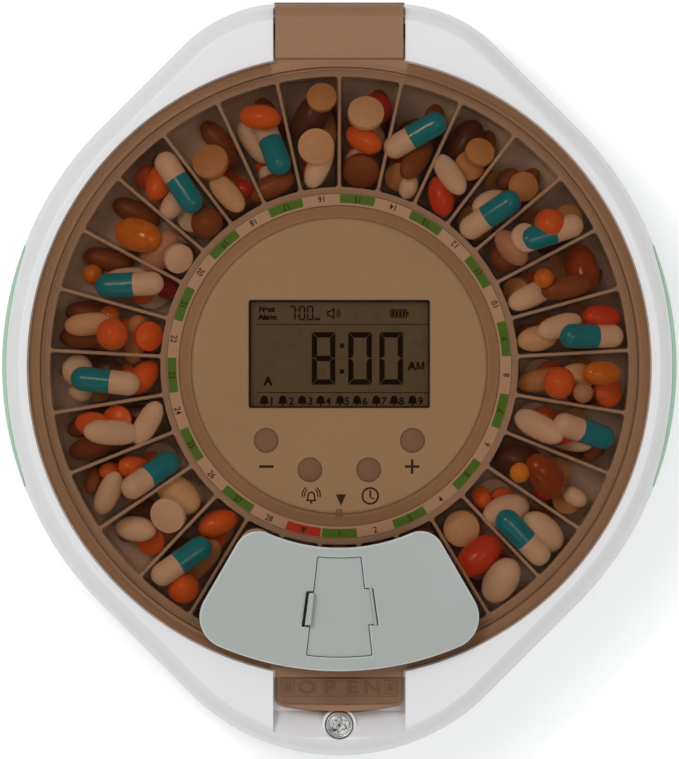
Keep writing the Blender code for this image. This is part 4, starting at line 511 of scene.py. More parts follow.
def text_body(words: str, size: float, place: Sequence[float], turn: float = 0.0, depth: float = 0.06,
              width: float = 1.0, outline: float = 0.0, weight: float = 0.0) -> bmesh.types.BMesh:
    """Make raised lettering.

    Args:
        words: the characters.
        size: height of a capital.
        place: centre of the words and their underside's height.
        turn: angle about the upright axis.
        depth: how far the letters stand up.
        width: how much wider than normal the letters are.
        outline: radius of a ridge that runs round open letters, or 0 for solid ones.
        weight: how far solid letters are thickened.

    Returns:
        The letters as one body, centred on their place.
    """
    curve = bpy.data.curves.new("letters", "FONT")
    curve.body, curve.align_x, curve.align_y, curve.resolution_u = words, "CENTER", "CENTER", 4
    curve.size = 1.0
    if outline:
        curve.fill_mode, curve.bevel_depth, curve.bevel_resolution = "NONE", outline / (size * 1.37), 1
    else:
        curve.extrude, curve.offset = 0.5, weight / (size * 1.37)
    holder = bpy.data.objects.new("letters", curve)
    bpy.context.scene.collection.objects.link(holder)
    mesh = bpy.data.meshes.new_from_object(holder.evaluated_get(bpy.context.evaluated_depsgraph_get()))
    bpy.data.objects.remove(holder)
    body = bmesh.new()
    body.from_mesh(mesh)
    bpy.data.meshes.remove(mesh)
    bmesh.ops.remove_doubles(body, verts=body.verts, dist=1e-5)
    xs, ys = [v.co.x for v in body.verts], [v.co.y for v in body.verts]
    middle = Vector(((max(xs) + min(xs)) / 2, (max(ys) + min(ys)) / 2, 0))
    scale = size * 1.37
    rise = scale if outline else depth
    base = 0.0 if outline else 0.5
    for vert in body.verts:
        flat = vert.co - middle
        vert.co = Vector((flat.x * scale * width, flat.y * scale, (vert.co.z + base) * rise))
    matrix = Matrix.Translation(Vector(place)) @ Matrix.Rotation(turn, 4, "Z")
    bmesh.ops.transform(body, matrix=matrix, verts=body.verts)
    return body


def join(bodies: Iterable[bmesh.types.BMesh]) -> bmesh.types.BMesh:
    """Put several bodies into one, each with its faces outwards."""
    whole = bmesh.new()
    for body in bodies:
        part = bpy.data.meshes.new("part")
        bmesh.ops.recalc_face_normals(body, faces=body.faces)
        body.to_mesh(part)
        whole.from_mesh(part)
        bpy.data.meshes.remove(part)
        body.free()
    return whole


def holder_of(body: bmesh.types.BMesh, name: str = "work") -> bpy.types.Object:
    """Put a body into a temporary object."""
    mesh = bpy.data.meshes.new(name)
    body.to_mesh(mesh)
    body.free()
    thing = bpy.data.objects.new(name, mesh)
    bpy.context.scene.collection.objects.link(thing)
    return thing


def settle(thing: bpy.types.Object) -> bpy.types.Mesh:
    """Give an object's mesh with its modifiers worked out, and remove the object."""
    mesh = bpy.data.meshes.new_from_object(thing.evaluated_get(bpy.context.evaluated_depsgraph_get()))
    old = thing.data
    bpy.data.objects.remove(thing)
    if isinstance(old, bpy.types.Mesh):
        bpy.data.meshes.remove(old)
    return mesh


class Carve(Enum):
    """What a Boolean step does."""

    CUT = "DIFFERENCE"
    ADD = "UNION"


def carve(body: bmesh.types.BMesh, steps: Sequence[tuple[Carve, Sequence[bmesh.types.BMesh]]]) -> bmesh.types.BMesh:
    """Cut and add bodies, one Boolean each, through temporary objects.

    Args:
        body: what is carved.
        steps: each operation and its bodies, which may not overlap each other.

    Returns:
        The carved body.
    """
    base = holder_of(join([body]), "base")
    tools = []
    for operation, bodies in steps:
        tool = holder_of(join(bodies), "tool")
        tools.append(tool)
        boolean = base.modifiers.new("carve", "BOOLEAN")
        boolean.operation, boolean.solver, boolean.object = operation.value, "EXACT", tool
    mesh = settle(base)
    for tool in tools:
        old = tool.data
        bpy.data.objects.remove(tool)
        bpy.data.meshes.remove(old)
    result = bmesh.new()
    result.from_mesh(mesh)
    bpy.data.meshes.remove(mesh)
    return result


def recoat(thing: bpy.types.Object, finish: Finish, chosen: Callable[[float, float, float, float], bool]) -> None:
    """Give another finish to the faces whose middles are chosen.

    Args:
        thing: a finished piece.
        finish: the faces' new finish.
        chosen: tells from x, y and z in millimetres about the tray's axis, and from how far the face looks up,
            whether a face is one of them.
    """
    thing.data.materials.append(finish.material())
    for face in thing.data.polygons:
        x, y, z = face.center / MM
        if chosen(x, y - AXIS_Y_MM, z, face.normal.z):
            face.material_index = len(thing.data.materials) - 1


def to_frame() -> Matrix:
    """Give the move from millimetres about the tray's axis into the frame's metres."""
    return Matrix.Translation((0, AXIS_Y_MM * MM, 0)) @ Matrix.Scale(MM, 4)


def piece(name: str, parts: Sequence[tuple[bmesh.types.BMesh, Finish]], body: str, replaced: Sequence[str] = (),
          sharp_deg: float = 38.0) -> bpy.types.Object:
    """Finish one piece: its mesh, materials, shading, body and the nodes that it stands for.

    Args:
        name: the piece's name.
        parts: bodies in millimetres, each with its finish.
        body: the CAD body that it rides on.
        replaced: CAD nodes that it stands for.
        sharp_deg: edges with a sharper bend than this stay crisp.

    Returns:
        The finished object.
    """
    finishes = list(dict.fromkeys(finish for _, finish in parts))
    whole = bmesh.new()
    for part, finish in parts:
        bmesh.ops.recalc_face_normals(part, faces=part.faces)
        for face in part.faces:
            face.material_index = finishes.index(finish)
        mesh = bpy.data.meshes.new("part")
        part.to_mesh(mesh)
        whole.from_mesh(mesh)
        bpy.data.meshes.remove(mesh)
        part.free()
    bmesh.ops.transform(whole, matrix=to_frame(), verts=whole.verts)
    work = holder_of(whole, name + "_work")
    for finish in finishes:
        work.data.materials.append(finish.material())
    work.data.shade_smooth()
    work.data.set_sharp_from_angle(angle=math.radians(sharp_deg))
    weighted = work.modifiers.new("weighted", "WEIGHTED_NORMAL")
    weighted.keep_sharp, weighted.weight = True, 60
    mesh = settle(work)
    mesh.name = name
    return attach(name, mesh, body, replaced)


def attach(name: str, mesh: bpy.types.Mesh, body: str, replaced: Sequence[str] = ()) -> bpy.types.Object:
    """Put a finished mesh on its CAD body and report it."""
    thing = bpy.data.objects.new(name, mesh)
    bpy.context.scene.collection.objects.link(thing)
    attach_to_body(thing, body)
    if replaced:
        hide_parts(*replaced)
    LOG.info("%s: %d faces on %s", name, len(mesh.polygons), body)
    return thing


def repaint(finish: Finish, *nodes: str) -> None:
    """Give CAD nodes that keep their shape a better finish."""
    for node in nodes:
        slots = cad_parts[node].material_slots
        for slot in slots:
            slot.material = finish.material()


class Repeat:
    """A Geometry Nodes tree that repeats the object's own mesh round an axis or along a row."""

    NUMBERS = (("Count", "NodeSocketInt"), ("First Turn", "NodeSocketFloat"), ("Turn Step", "NodeSocketFloat"),
               ("Weld", "NodeSocketFloat"))
    VECTORS = ("Centre", "Row Step")

    def __init__(self) -> None:
        """Draw the tree."""
        tree = bpy.data.node_groups.new("repeat_part", "GeometryNodeTree")
        face = tree.interface
        face.new_socket("Geometry", in_out="INPUT", socket_type="NodeSocketGeometry")
        for label, kind in self.NUMBERS:
            face.new_socket(label, in_out="INPUT", socket_type=kind)
        for label in self.VECTORS:
            face.new_socket(label, in_out="INPUT", socket_type="NodeSocketVector")
        face.new_socket("Finish", in_out="INPUT", socket_type="NodeSocketMaterial")
        face.new_socket("Geometry", in_out="OUTPUT", socket_type="NodeSocketGeometry")
        given = add_node(tree, "NodeGroupInput").outputs
        index = add_node(tree, "GeometryNodeInputIndex").outputs[0]
        row = add_node(tree, "ShaderNodeVectorMath", {"operation": "SCALE"}, {0: given["Row Step"], "Scale": index})
        place = add_node(tree, "ShaderNodeVectorMath", {"operation": "ADD"}, {0: given["Centre"], 1: row.outputs[0]})
        turn = add_node(tree, "ShaderNodeMath", {"operation": "MULTIPLY_ADD"},
                        {0: index, 1: given["Turn Step"], 2: given["First Turn"]})
        about = add_node(tree, "ShaderNodeCombineXYZ", None, {"Z": turn.outputs[0]})
        points = add_node(tree, "GeometryNodePoints", None, {"Count": given["Count"], "Position": place.outputs[0]})
        copies = add_node(tree, "GeometryNodeInstanceOnPoints", None,
                          {"Points": points.outputs[0], "Instance": given["Geometry"], "Rotation": about.outputs[0]})
        real = add_node(tree, "GeometryNodeRealizeInstances", None, {"Geometry": copies.outputs[0]})
        welded = add_node(tree, "GeometryNodeMergeByDistance", None, {"Geometry": real.outputs[0], "Distance": given["Weld"]})
        dressed = add_node(tree, "GeometryNodeSetMaterial", None, {"Geometry": welded.outputs[0], "Material": given["Finish"]})
        add_node(tree, "NodeGroupOutput", None, {"Geometry": dressed.outputs[0]})
        self.tree = tree
        self.keys = {item.name: item.identifier for item in face.items_tree if item.in_out == "INPUT"}

    def __call__(self, part: bmesh.types.BMesh, finish: Finish, count: int, first_turn: float = 0.0, turn_step: float = 0.0,
                 centre: Sequence[float] = (0, 0, 0), row_step: Sequence[float] = (0, 0, 0), weld: float = 0.0) -> bmesh.types.BMesh:
        """Repeat a body.

        Args:
            part: the body, drawn about the origin.
            finish: what the copies are made of.
            count: number of copies.
            first_turn: turn of the first copy.
            turn_step: turn from one copy to the next.
            centre: place of the first copy.
            row_step: step from one copy to the next.
            weld: distance within which copies grow together.

        Returns:
            All the copies in one body.
        """
        work = holder_of(join([part]), "repeated")
        modifier = work.modifiers.new("repeat", "NODES")
        modifier.node_group = self.tree
        values = {"Count": count, "First Turn": first_turn, "Turn Step": turn_step, "Weld": weld,
                  "Centre": tuple(float(v) for v in centre), "Row Step": tuple(float(v) for v in row_step),
                  "Finish": finish.material()}
        for label, value in values.items():
            modifier[self.keys[label]] = value
        mesh = settle(work)
        result = bmesh.new()
        result.from_mesh(mesh)
        bpy.data.meshes.remove(mesh)
        return result


def wedge(angle: float, half: float, margin: float, inner: float, outer: float, inner_round: float, outer_round: float,
          corner_steps: int = 8, arc_steps: int = 10) -> list[Point]:
    """Give a rounded wedge in plan between two radii.

    Args:
        angle: direction of its middle line.
        half: half of its angle.
        margin: how far each side is drawn in from its radial line.
        inner: inner radius.
        outer: outer radius.
        inner_round: radius of the two inner corners.
        outer_round: radius of the two outer corners.
        corner_steps: pieces of each corner's arc.
        arc_steps: pieces of half of each long arc.

    Returns:
        A counter-clockwise outline.
    """
    side = Vector((math.cos(half), math.sin(half)))
    inward = Vector((math.sin(half), -math.cos(half)))

    def corner(reach: float, rounding: float) -> Vector:
        """Give a corner arc's centre."""
        offset = margin + rounding
        return side * math.sqrt(reach * reach - offset * offset) + inward * offset

    near, far = corner(inner + inner_round, inner_round), corner(outer - outer_round, outer_round)
    near_turn, far_turn = math.atan2(near.y, near.x), math.atan2(far.y, far.x)
    points = arc((0, 0), inner, 0, near_turn, arc_steps)
    points += arc(near, inner_round, near_turn + math.pi, half + math.pi / 2, corner_steps)[1:]
    points += arc(far, outer_round, half + math.pi / 2, far_turn, corner_steps)
    points += arc((0, 0), outer, far_turn, 0, arc_steps)[1:]
    points += [(x, -y) for x, y in reversed(points[1:-1])]
    turned = [(x * math.cos(angle) - y * math.sin(angle), x * math.sin(angle) + y * math.cos(angle)) for x, y in points]
    return turned[::-1]


def radial_strip(near_deg: float, far_deg: float, inner: float, outer: float, near_shift: float = 0.0,
                 far_shift: float = 0.0) -> list[Point]:
    """Give a strip near the nose line between two radial lines, counter-clockwise."""
    near, far = math.tan(math.radians(near_deg)), math.tan(math.radians(far_deg))
    points = [(inner * near + near_shift, -inner), (inner * far + far_shift, -inner),
              (outer * far + far_shift, -outer), (outer * near + near_shift, -outer)]
    area = sum(a[0] * b[1] - b[0] * a[1] for a, b in zip(points, points[1:] + points[:1]))
    return points if area > 0 else points[::-1]


def on_front(angle_deg: float, reach: float, height: float = 0.0) -> tuple[float, float, float]:
    """Give a place at a reach from the axis, turned from the nose line towards +X."""
    angle = math.radians(angle_deg)
    return (reach * math.sin(angle), -reach * math.cos(angle), height)


# Case

@dataclass
class CaseShell:
    """The white upper case with its well, hinge notch, finger scoop, lock boss and grip recesses."""

    radius: float = 105.0
    nose_reach: float = 121.4
    rear_reach: float = 113.0
    rear_corner: float = 45.0
    low: float = 24.0
    top: float = 56.0
    shoulder: float = 47.0
    draft: float = 1.6
    shoulder_inset: float = 5.6
    wall: float = 2.2
    well: float = 92.85
    seat: float = 96.75
    seat_z: float = 54.3
    deck_low: float = 27.0
    deck_top: float = 29.0
    lock_y: float = -111.3

    def outline(self, drawn_in: float) -> list[Point]:
        """Give the case's outline in plan, drawn in by an amount."""
        corner_line = self.radius * math.sqrt(2)
        nose_radius = (corner_line - self.nose_reach) / (math.sqrt(2) - 1)
        rear = self.rear_reach - self.rear_corner
        corner_x = corner_line - rear - self.rear_corner * math.sqrt(2)
        arcs = ((0, 0, self.radius, -45, 45, 40), (corner_x, rear, self.rear_corner, 45, 90, 16),
                (-corner_x, rear, self.rear_corner, 90, 135, 16), (0, 0, self.radius, 135, 225, 40),
                (0, nose_radius - self.nose_reach, nose_radius, 225, 315, 36))
        points = []
        for x, y, radius, start, end, steps in arcs:
            points += arc((x, y), radius - drawn_in, math.radians(start), math.radians(end), steps)[:-1]
        return points

    def loft(self, stations: Sequence[Point]) -> bmesh.types.BMesh:
        """Loft the case's outline through pairs of inset and height."""
        return stack([(self.outline(drawn_in), height) for drawn_in, height in stations])

    def shoulder_line(self, limit_deg: float = 64.0, steps: int = 9) -> list[Point]:
        """Give the slanted, bowed shoulder and the small crease where it meets the top."""
        limit = math.radians(limit_deg)
        line = []
        for step in range(steps + 1):
            turn = limit * step / steps
            run = (1 - math.cos(turn)) / (1 - math.cos(limit))
            rise = math.sin(turn) / math.sin(limit)
            line.append((self.draft + (self.shoulder_inset - 0.25 - self.draft) * run,
                         self.shoulder + (self.top - 0.12 - self.shoulder) * rise))
        return line + [(self.shoulder_inset + 0.05, self.top - 0.02), (self.shoulder_inset + 0.4, self.top)]

    def grip(self, side: int, gap: float = 0.0, steps: int = 40) -> bmesh.types.BMesh:
        """Give a grip pad, or with a gap the recess that it sits in."""
        half = math.radians(21) + gap / self.radius
        low, depth, proud = self.low + 3.0 - gap, 1.1 + gap, 0.3 if gap == 0 else 2.0
        rings = []
        for step in range(steps + 1):
            share = 2 * step / steps - 1
            high = low + 1.5 + 17.5 * math.sqrt(max(0.0, 1 - share * share)) + 2 * gap
            angle = half * share + (0 if side > 0 else math.pi)
            soft = 0.0 if gap else min(0.35, (high - low) / 4)
            section = ((low, -depth), (low, proud - soft), (low + soft, proud), (high - soft, proud), (high, proud - soft),
                       (high, -depth))
            points = []
            for height, offset in section:
                radius = self.radius - self.draft * (height - self.low) / (self.shoulder - self.low) + offset
                points.append((radius * math.cos(angle), radius * math.sin(angle), height))
            rings.append(points)
        return loft(rings)

    def scoop(self) -> bmesh.types.BMesh:
        """Give the cut under the front tab, with a floor that ramps up to the nose."""
        over = self.top + 2
        slope = 7.0 / 8.0
        floor = [(-107.0 - 8.0 * (1 - math.cos(math.pi / 2 * t / 8)), 49.0 + 7.0 * (t / 8) ** 1.6) for t in range(9)]
        points = [(-self.well, self.seat_z), (-96.5, self.seat_z), (-96.5, 49.0), *floor, (-115.0 - 2 / slope, over),
                  (-self.well, over)]
        return side_slab(points, 20.5)

    def notch(self) -> bmesh.types.BMesh:
        """Give the cut that the lid's rear tab and barrel lie in."""
        front, floor = 107.2 - 5.6 - 0.5, 51.3 - 5.6 - 0.3
        points = [(self.well, self.seat_z), (front, self.seat_z), (front, floor), (115.0, floor), (115.0, 58.0),
                  (self.well, 58.0)]
        return side_slab(points, 20.5)

    def build(self) -> None:
        """Build and dress the upper case and its grips."""
        hollow = self.loft([(self.wall, self.low - 2), (self.draft + self.wall, self.shoulder),
                            (self.shoulder_inset + 0.4, 52.2)])
        solid_well = lathe([(0, self.deck_low), (self.well + self.wall, self.deck_low), (self.well + self.wall, 56), (0, 56)])
        hinge = slab(rectangle(0, 105, 55, 24), 43.2, 56.0)
        scoop_wall = slab(rectangle(0, -108, 45.4, 30), 46.8, 56.0)
        hollow = carve(hollow, [(Carve.CUT, [part]) for part in (solid_well, hinge, scoop_wall)])
        well = lathe([(0, self.deck_top), (self.well - 0.6, self.deck_top), (self.well, self.deck_top + 0.6),
                      (self.well, 60), (0, 60)], 192)
        seat = lathe([(0, self.seat_z), (self.seat - 0.2, self.seat_z), (self.seat, self.seat_z + 0.2),
                      (self.seat, self.top - 0.3), (self.seat + 0.08, self.top - 0.1), (self.seat + 0.3, self.top + 0.05),
                      (self.seat + 0.3, 60), (0, 60)], 192)
        boss = lathe([(0, 46.8), (5.4, 46.8), (5.4, 53.45), (5.05, 53.8), (0, 53.8)], 64, 0, self.lock_y)
        lock_hole = lathe([(0, 44), (4.4, 44), (4.4, 53.55), (4.75, 53.9), (4.75, 60), (0, 60)], 64, 0, self.lock_y)
        slot = slab(rectangle(0, -101.5, 11.0, 8.0, 0.8), 44.8, 51.0)
        body = self.loft([(0.35, self.low), (0.05, self.low + 0.3)] + self.shoulder_line())
        steps = [(Carve.CUT, [hollow]), (Carve.CUT, [well]), (Carve.CUT, [seat]), (Carve.CUT, [self.notch()]),
                 (Carve.CUT, [self.scoop()]), (Carve.ADD, [boss]), (Carve.CUT, [lock_hole]), (Carve.CUT, [slot]),
                 (Carve.CUT, [self.grip(1, 0.3), self.grip(-1, 0.3)])]
        piece("case_shell", [(carve(body, steps), WHITE_ABS)], "case", ["upper_shell"], 32)
        for side, name in ((1, "right"), (-1, "left")):
            ribs = []
            for number in range(5):
                height = self.low + 6.0 + number * 2.6
                half = math.radians(21) * math.sqrt(max(0.05, 1 - ((height - self.low - 4.5) / 17.5) ** 2)) - 0.035
                rows = []
                for step in range(33):
                    angle = half * (2 * step / 32 - 1) + (0 if side > 0 else math.pi)
                    radius = self.radius - self.draft * (height - self.low) / (self.shoulder - self.low) + 0.28
                    middle = (radius * math.cos(angle), radius * math.sin(angle))
                    out = Vector((math.cos(angle), math.sin(angle), 0))
                    rows.append([Vector((*middle, height)) + out * (0.02 * math.cos(t)) + Vector((0, 0, 0.45 * math.sin(t)))
                                 for t in [TAU * k / 8 for k in range(8)]])
                ribs.append(loft(rows))
            piece(f"grip_pad_{name}", [(self.grip(side), GRIP_TPE), (join(ribs), GRIP_TPE)], "case", [f"side_grip_{name}"],
                  50)


@dataclass
class BaseTub:
    """The lower case with the battery bay, screw pockets, feet and sound slots."""

    shell: CaseShell
    repeat: Repeat
    low: float = 1.5
    top: float = 23.7
    bay_y: float = -30.0
    screws: tuple[Point, ...] = ((40, 94), (-40, 94), (40, -92.5), (-40, -92.5))
    feet: tuple[Point, ...] = ((60, 55), (-60, 55), (60, -55), (-60, -55))

    def build(self) -> None:
        """Build and dress the lower case, its cover, feet and screws."""
        edge = []
        for step in range(9):
            turn = math.pi / 2 * step / 8
            edge.append((0.6 + 5.0 * (1 - math.cos(turn)), self.low + 6.0 * (1 - math.sin(turn))))
        stations = list(reversed(edge)) + [(0.35, self.top - 0.3), (0.6, self.top)]
        hollow = self.shell.loft([(7.8, 3.7), (2.8, 9.7), (2.8, 26.0)])
        block = slab(rectangle(0, self.bay_y, 67.8, 69.4, 1.0), 2.7, 20.6)
        bay = slab(rectangle(0, self.bay_y, 58.0, 59.6, 1.0), 2.6, 18.4)
        recess = slab(rectangle(0, self.bay_y, 63.4, 65.0, 1.6), -0.5, 3.6)
        pockets = [lathe([(0, -1), (3.4, -1), (3.4, 1.55), (2.9, 2.0), (2.9, 5.7), (0, 5.7)], 32, x, y) for x, y in self.screws]
        pockets += [lathe([(0, -1), (6.5, -1), (6.5, 1.6), (6.3, 1.8), (6.3, 2.3), (0, 2.3)], 48, x, y) for x, y in self.feet]
        slots = self.repeat(slab(rectangle(0, 0, 12, 1.2, 0.55), -0.5, 5.7), TUB_ABS, 5, centre=(-55, 4.0, 0),
                            row_step=(0, 3.0, 0))
        steps = [(Carve.CUT, [hollow]), (Carve.ADD, [block]), (Carve.CUT, [bay]), (Carve.CUT, [recess]),
                 (Carve.CUT, pockets), (Carve.CUT, [slots])]
        piece("case_tub", [(carve(self.shell.loft(stations), steps), TUB_ABS)], "case", ["base_tub"], 32)
        cover = slab(rectangle(0, self.bay_y, 62.4, 64.0, 1.4), self.low, 3.3, 0.3, 0.35)
        grooves = self.repeat(slab(rectangle(0, 0, 16.0, 0.9, 0.4), 0.5, 2.3), TUB_ABS, 4, centre=(0, -57.0, 0),
                              row_step=(0, 3.0, 0))
        arrow = slab([(0, -42.2), (2.6, -46.4), (-2.6, -46.4)][::-1], 0.9, 1.9)
        piece("battery_door", [(carve(cover, [(Carve.CUT, [grooves]), (Carve.CUT, [arrow])]), TUB_ABS)], "cover",
              ["battery_cover"])
        for number, (x, y) in enumerate(((-60, -55), (-60, 55), (60, -55), (60, 55)), start=1):
            profile = [(0, 0.12), (4.6, 0.12), (4.9, 0.0), (5.5, 0.0), (5.85, 0.15), (6.0, 0.5), (6.0, 2.0), (0, 2.0)]
            piece(f"foot_pad_{number}", [(lathe(profile, 48, x, y), FOOT_RUBBER)], "case", [f"rubber_foot_{number}"])
        heads = []
        for x, y in self.screws:
            head = lathe([(0, 3.6), (1.7, 3.65), (2.3, 3.95), (2.6, 4.6), (2.6, 5.4), (1.4, 5.4), (1.4, 28.4), (0, 28.4)], 32, x, y)
            cross = [slab(rectangle(x, y, 2.6, 0.6), 3.0, 4.6), slab(rectangle(x, y, 0.6, 2.6), 3.0, 4.6)]
            heads.append(carve(head, [(Carve.CUT, [part]) for part in cross]))
        piece("case_screw_set", [(join(heads), STEEL)], "case", [f"case_screw_{n}" for n in range(1, 5)])


# Lid, plate and door

@dataclass
class Lid:
    """The smoky lid: dished disc, rim, ridge, skirt, rear barrel tab, front tab with its raised panel, and hook."""

    rim: float = 96.4
    ridge: float = 93.8
    skirt: float = 92.2
    low: float = 54.6
    rim_z: float = 57.0
    top: float = 60.0
    wall: float = 2.2

    def front_tab(self, drawn_in: float = 0.0) -> list[Point]:
        """Give the front tab's outline: straight sides, rounded corners and a bowed edge."""
        half = 19.9 - drawn_in
        corner = 2.5 - drawn_in * 0.4
        right = [(half, -93.4)]
        centre = (half - corner, -105.6 + drawn_in + corner)
        right += arc(centre, corner, 0.0, -math.pi / 2 * 0.96, 6)
        bow = [((half - corner) * s, -107.6 + drawn_in + 2.0 * s * s) for s in (0.85, 0.7, 0.55, 0.4, 0.25, 0.12)]
        right += bow
        return ([(-x, y) for x, y in right] + [(0, -107.6 + drawn_in)] + right[::-1])

    def rear_tab(self, steps: int = 28) -> list[Point]:
        """Give the rear tab from the side: a flat slab that ends in the round barrel."""
        end = -math.pi - math.asin((54.7 - 51.3) / 5.6)
        outline = [(93.4, 56.9)]
        outline += [(107.2 + 5.6 * math.cos(t), 51.3 + 5.6 * math.sin(t))
                    for t in [math.pi / 2 + (end - math.pi / 2) * step / steps for step in range(steps + 1)]]
        return outline + [(93.4, 54.7)]

    def build(self) -> None:
        """Build and dress the lid."""
        under = self.top - self.wall
        round_top = arc((self.ridge - 1.2, self.top - 1.2), 1.2, 0.05, math.pi / 2, 5)
        profile = [(0, under), (self.skirt - 1.0, under), (self.skirt - 0.3, under - 0.3), (self.skirt, under - 1.0),
                   (self.skirt, self.low), (self.rim - 0.2, self.low), (self.rim, self.low + 0.2), (self.rim, self.rim_z - 0.5),
                   (self.rim - 0.15, self.rim_z - 0.15), (self.rim - 0.5, self.rim_z), (self.ridge + 0.9, self.rim_z),
                   (self.ridge + 0.45, self.rim_z + 0.35), *round_top, (0, self.top)]
        opening = wedge(-math.pi / 2, math.radians(30), 1.5, 57.5, 91.6, 7.0, 7.0, 8, 14)
        tab = slab(self.front_tab(), 54.7, 56.9, 0.35, 0.0, 3)
        pin = rod((-22.2, 107.2, 51.3), (22.2, 107.2, 51.3), 1.8)
        steps = [(Carve.ADD, [side_slab(self.rear_tab(), 20.2)]), (Carve.ADD, [tab]),
                 (Carve.CUT, [slab(opening, 55.4, 62.0)]), (Carve.CUT, [pin])]
        body = carve(lathe(profile, 224), steps)
        lid = piece("smoky_lid", [(body, SMOKY_LID)], "lid", ["lid"], 32)
        # Partly painted shade: the flange's faces outside the ridge, beside the tabs, get the darker tint
        recoat(lid, SMOKY_RIM_DEPTH_AND_SHADE, lambda x, y, z, up: math.hypot(x, y) > self.ridge + 0.1 and abs(x) > 20.3)
        self.cores()
        self.panel()

    def cores(self) -> None:
        """Build the white catch with its plate under the front tab, and the white core of the rear tab."""
        barb = -105.0
        outline = [(x, min(y, -96.9)) for x, y in self.front_tab(0.6)]
        plate = slab([(x, max(y, -105.0)) for x, y in outline], 54.25, 54.68)
        lip = [(x, min(y, -105.05)) for x, y in outline if y < -104.2]
        strip = slab(lip, 54.25, 54.68)
        hook = side_slab([(-98.05, 54.4), (-98.05, 41.25), (barb + 0.45, 41.25), (barb + 0.05, 41.65), (barb + 0.05, 42.55),
                          (-99.55, 42.85), (-99.55, 54.4)], 4.95)
        piece("catch_plate", [(carve(plate, [(Carve.ADD, [hook])]), TRAY_ABS), (strip, WHITE_ABS)], "lid", (), 40)
        turns = [math.pi / 2 - (math.pi * 1.42) * step / 26 for step in range(27)]
        core = [(95.5, 56.55)] + [(107.2 + 5.25 * math.cos(t), 51.3 + 5.25 * math.sin(t)) for t in turns] + [(101.6, 55.05), (95.5, 55.05)]
        sleeve = carve(side_slab(core, 19.85), [(Carve.CUT, [rod((-23, 107.2, 51.3), (23, 107.2, 51.3), 1.85)])])
        piece("rear_tab_core", [(sleeve, CORE_ABS)], "lid", (), 40)

    def panel(self) -> None:
        """Build the raised panel on the front tab: a word in open letters between two framed squares, and the lip."""
        base = 56.88
        letters = [text_body(letter, 4.0, (x, -99.5, base + 0.1), 0.0, 0.1, 1.3, 0.22)
                   for letter, x in zip("OPEN", (-10.0, -2.8, 4.2, 10.1))]
        frames = [bar(rectangle(x, -99.5, 4.0, 4.6, 0.3, 2), 0.45, base - 0.05, base + 0.28, 0.12) for x in (-15.8, 15.8)]
        frames += [slab(rectangle(x, -99.5, 2.0, 2.6, 0.2, 2), base - 0.05, base + 0.2, 0.1) for x in (-15.8, 15.8)]
        border = bar(rectangle(0, -99.5, 36.8, 6.0, 0.5, 3), 0.32, base - 0.05, base + 0.18, 0.1)
        bow = [(x / 10 * 1.82, -105.2 + 0.85 * (x / 100) ** 2) for x in range(-100, 101, 10)]
        edge = slab(bow + [(x, y + 0.38) for x, y in reversed(bow)], base - 0.05, base + 0.22)
        piece("lid_tab_relief", [(join(letters + frames + [border, edge]), SMOKY_RELIEF)], "lid", (), 45)


@dataclass
class DispenserPlate:
    """The grey fan-shaped plate with the cross-shaped recess for its door."""

    half_deg: float = 30.0
    low: float = 60.3
    top: float = 62.0
    door_top: float = 61.2
    door_low: float = 59.6

    def build(self) -> None:
        """Build and dress the plate."""
        over = self.top + 2
        flange = wedge(-math.pi / 2, math.radians(self.half_deg), 0.0, 56.3, 94.6, 7.5, 10.0, 12, 20)
        plug = wedge(-math.pi / 2, math.radians(self.half_deg), 1.8, 57.8, 91.3, 6.7, 6.7, 8, 14)
        pocket = wedge(-math.pi / 2, math.radians(6.45), -0.18, 59.35, 90.35, 0.5, 0.5, 3, 6)
        opening = wedge(-math.pi / 2, math.radians(6.45), 1.2, 60.7, 89.0, 0.4, 0.4, 3, 6)
        floor = self.door_low - 0.3
        arm = radial_strip(0, 8.0, 68.8, 80.4, 0.0, 0.9)
        lug = radial_strip(-7.6, 0, 69.8, 80.8, -0.9)
        slot = radial_strip(-7.6, -6.25, 69.8, 80.8, -0.9)
        pin = rod(on_front(8.0, 66.8, 61.1), on_front(8.0, 82.4, 61.1), 0.75, 16)
        steps = [(Carve.ADD, [slab(plug, 57.4, 61.0)]), (Carve.CUT, [slab(pocket, floor, over - 1.6, flare=0.4)]),
                 (Carve.CUT, [slab(arm, floor, over - 1.6, flare=0.4)]), (Carve.CUT, [slab(lug, floor, over - 1.6, flare=0.4)]),
                 (Carve.CUT, [slab(slot, 55.0, floor + 1)]), (Carve.CUT, [slab(opening, 55.0, floor + 1)]), (Carve.CUT, [pin])]
        body = slab(flange, self.low, self.top, 0.7, 0.2, 5)
        plate = piece("fan_plate", [(carve(body, steps), GREY_ABS)], "lid", ["dispenser_plate"], 35)
        # Painted highlight: faces near the plate's top that slope between flat and upright get the lighter grey
        recoat(plate, GREY_EDGE_HIGHLIGHT, lambda x, y, z, up: z > self.top - 0.6 and 0.25 < up < 0.97)
        self.door()

    def door(self) -> None:
        """Build and dress the small door with its arm, trunnions and finger lug."""
        panel = slab(wedge(-math.pi / 2, math.radians(6.45), 0.0, 59.5, 90.2, 0.4, 0.4, 3, 6), self.door_low, self.door_top - 0.25, 0.3)
        arm = slab(radial_strip(5.2, 8.0, 69.1, 80.1, 0.0, 0.6), self.door_low, self.door_top - 0.23, 0.12)
        lug = slab(radial_strip(-7.6, -6.25, 70.3, 80.3), self.door_low, 64.0, 0.35)
        pin = rod(on_front(8.0, 67.1, 61.1), on_front(8.0, 82.1, 61.1), 0.55, 16)
        steps = [(Carve.ADD, [part]) for part in (arm, lug, pin)]
        piece("small_door", [(carve(panel, steps), GREY_ABS)], "door", ["dispensing_door"], 35)


# Tray and its ring

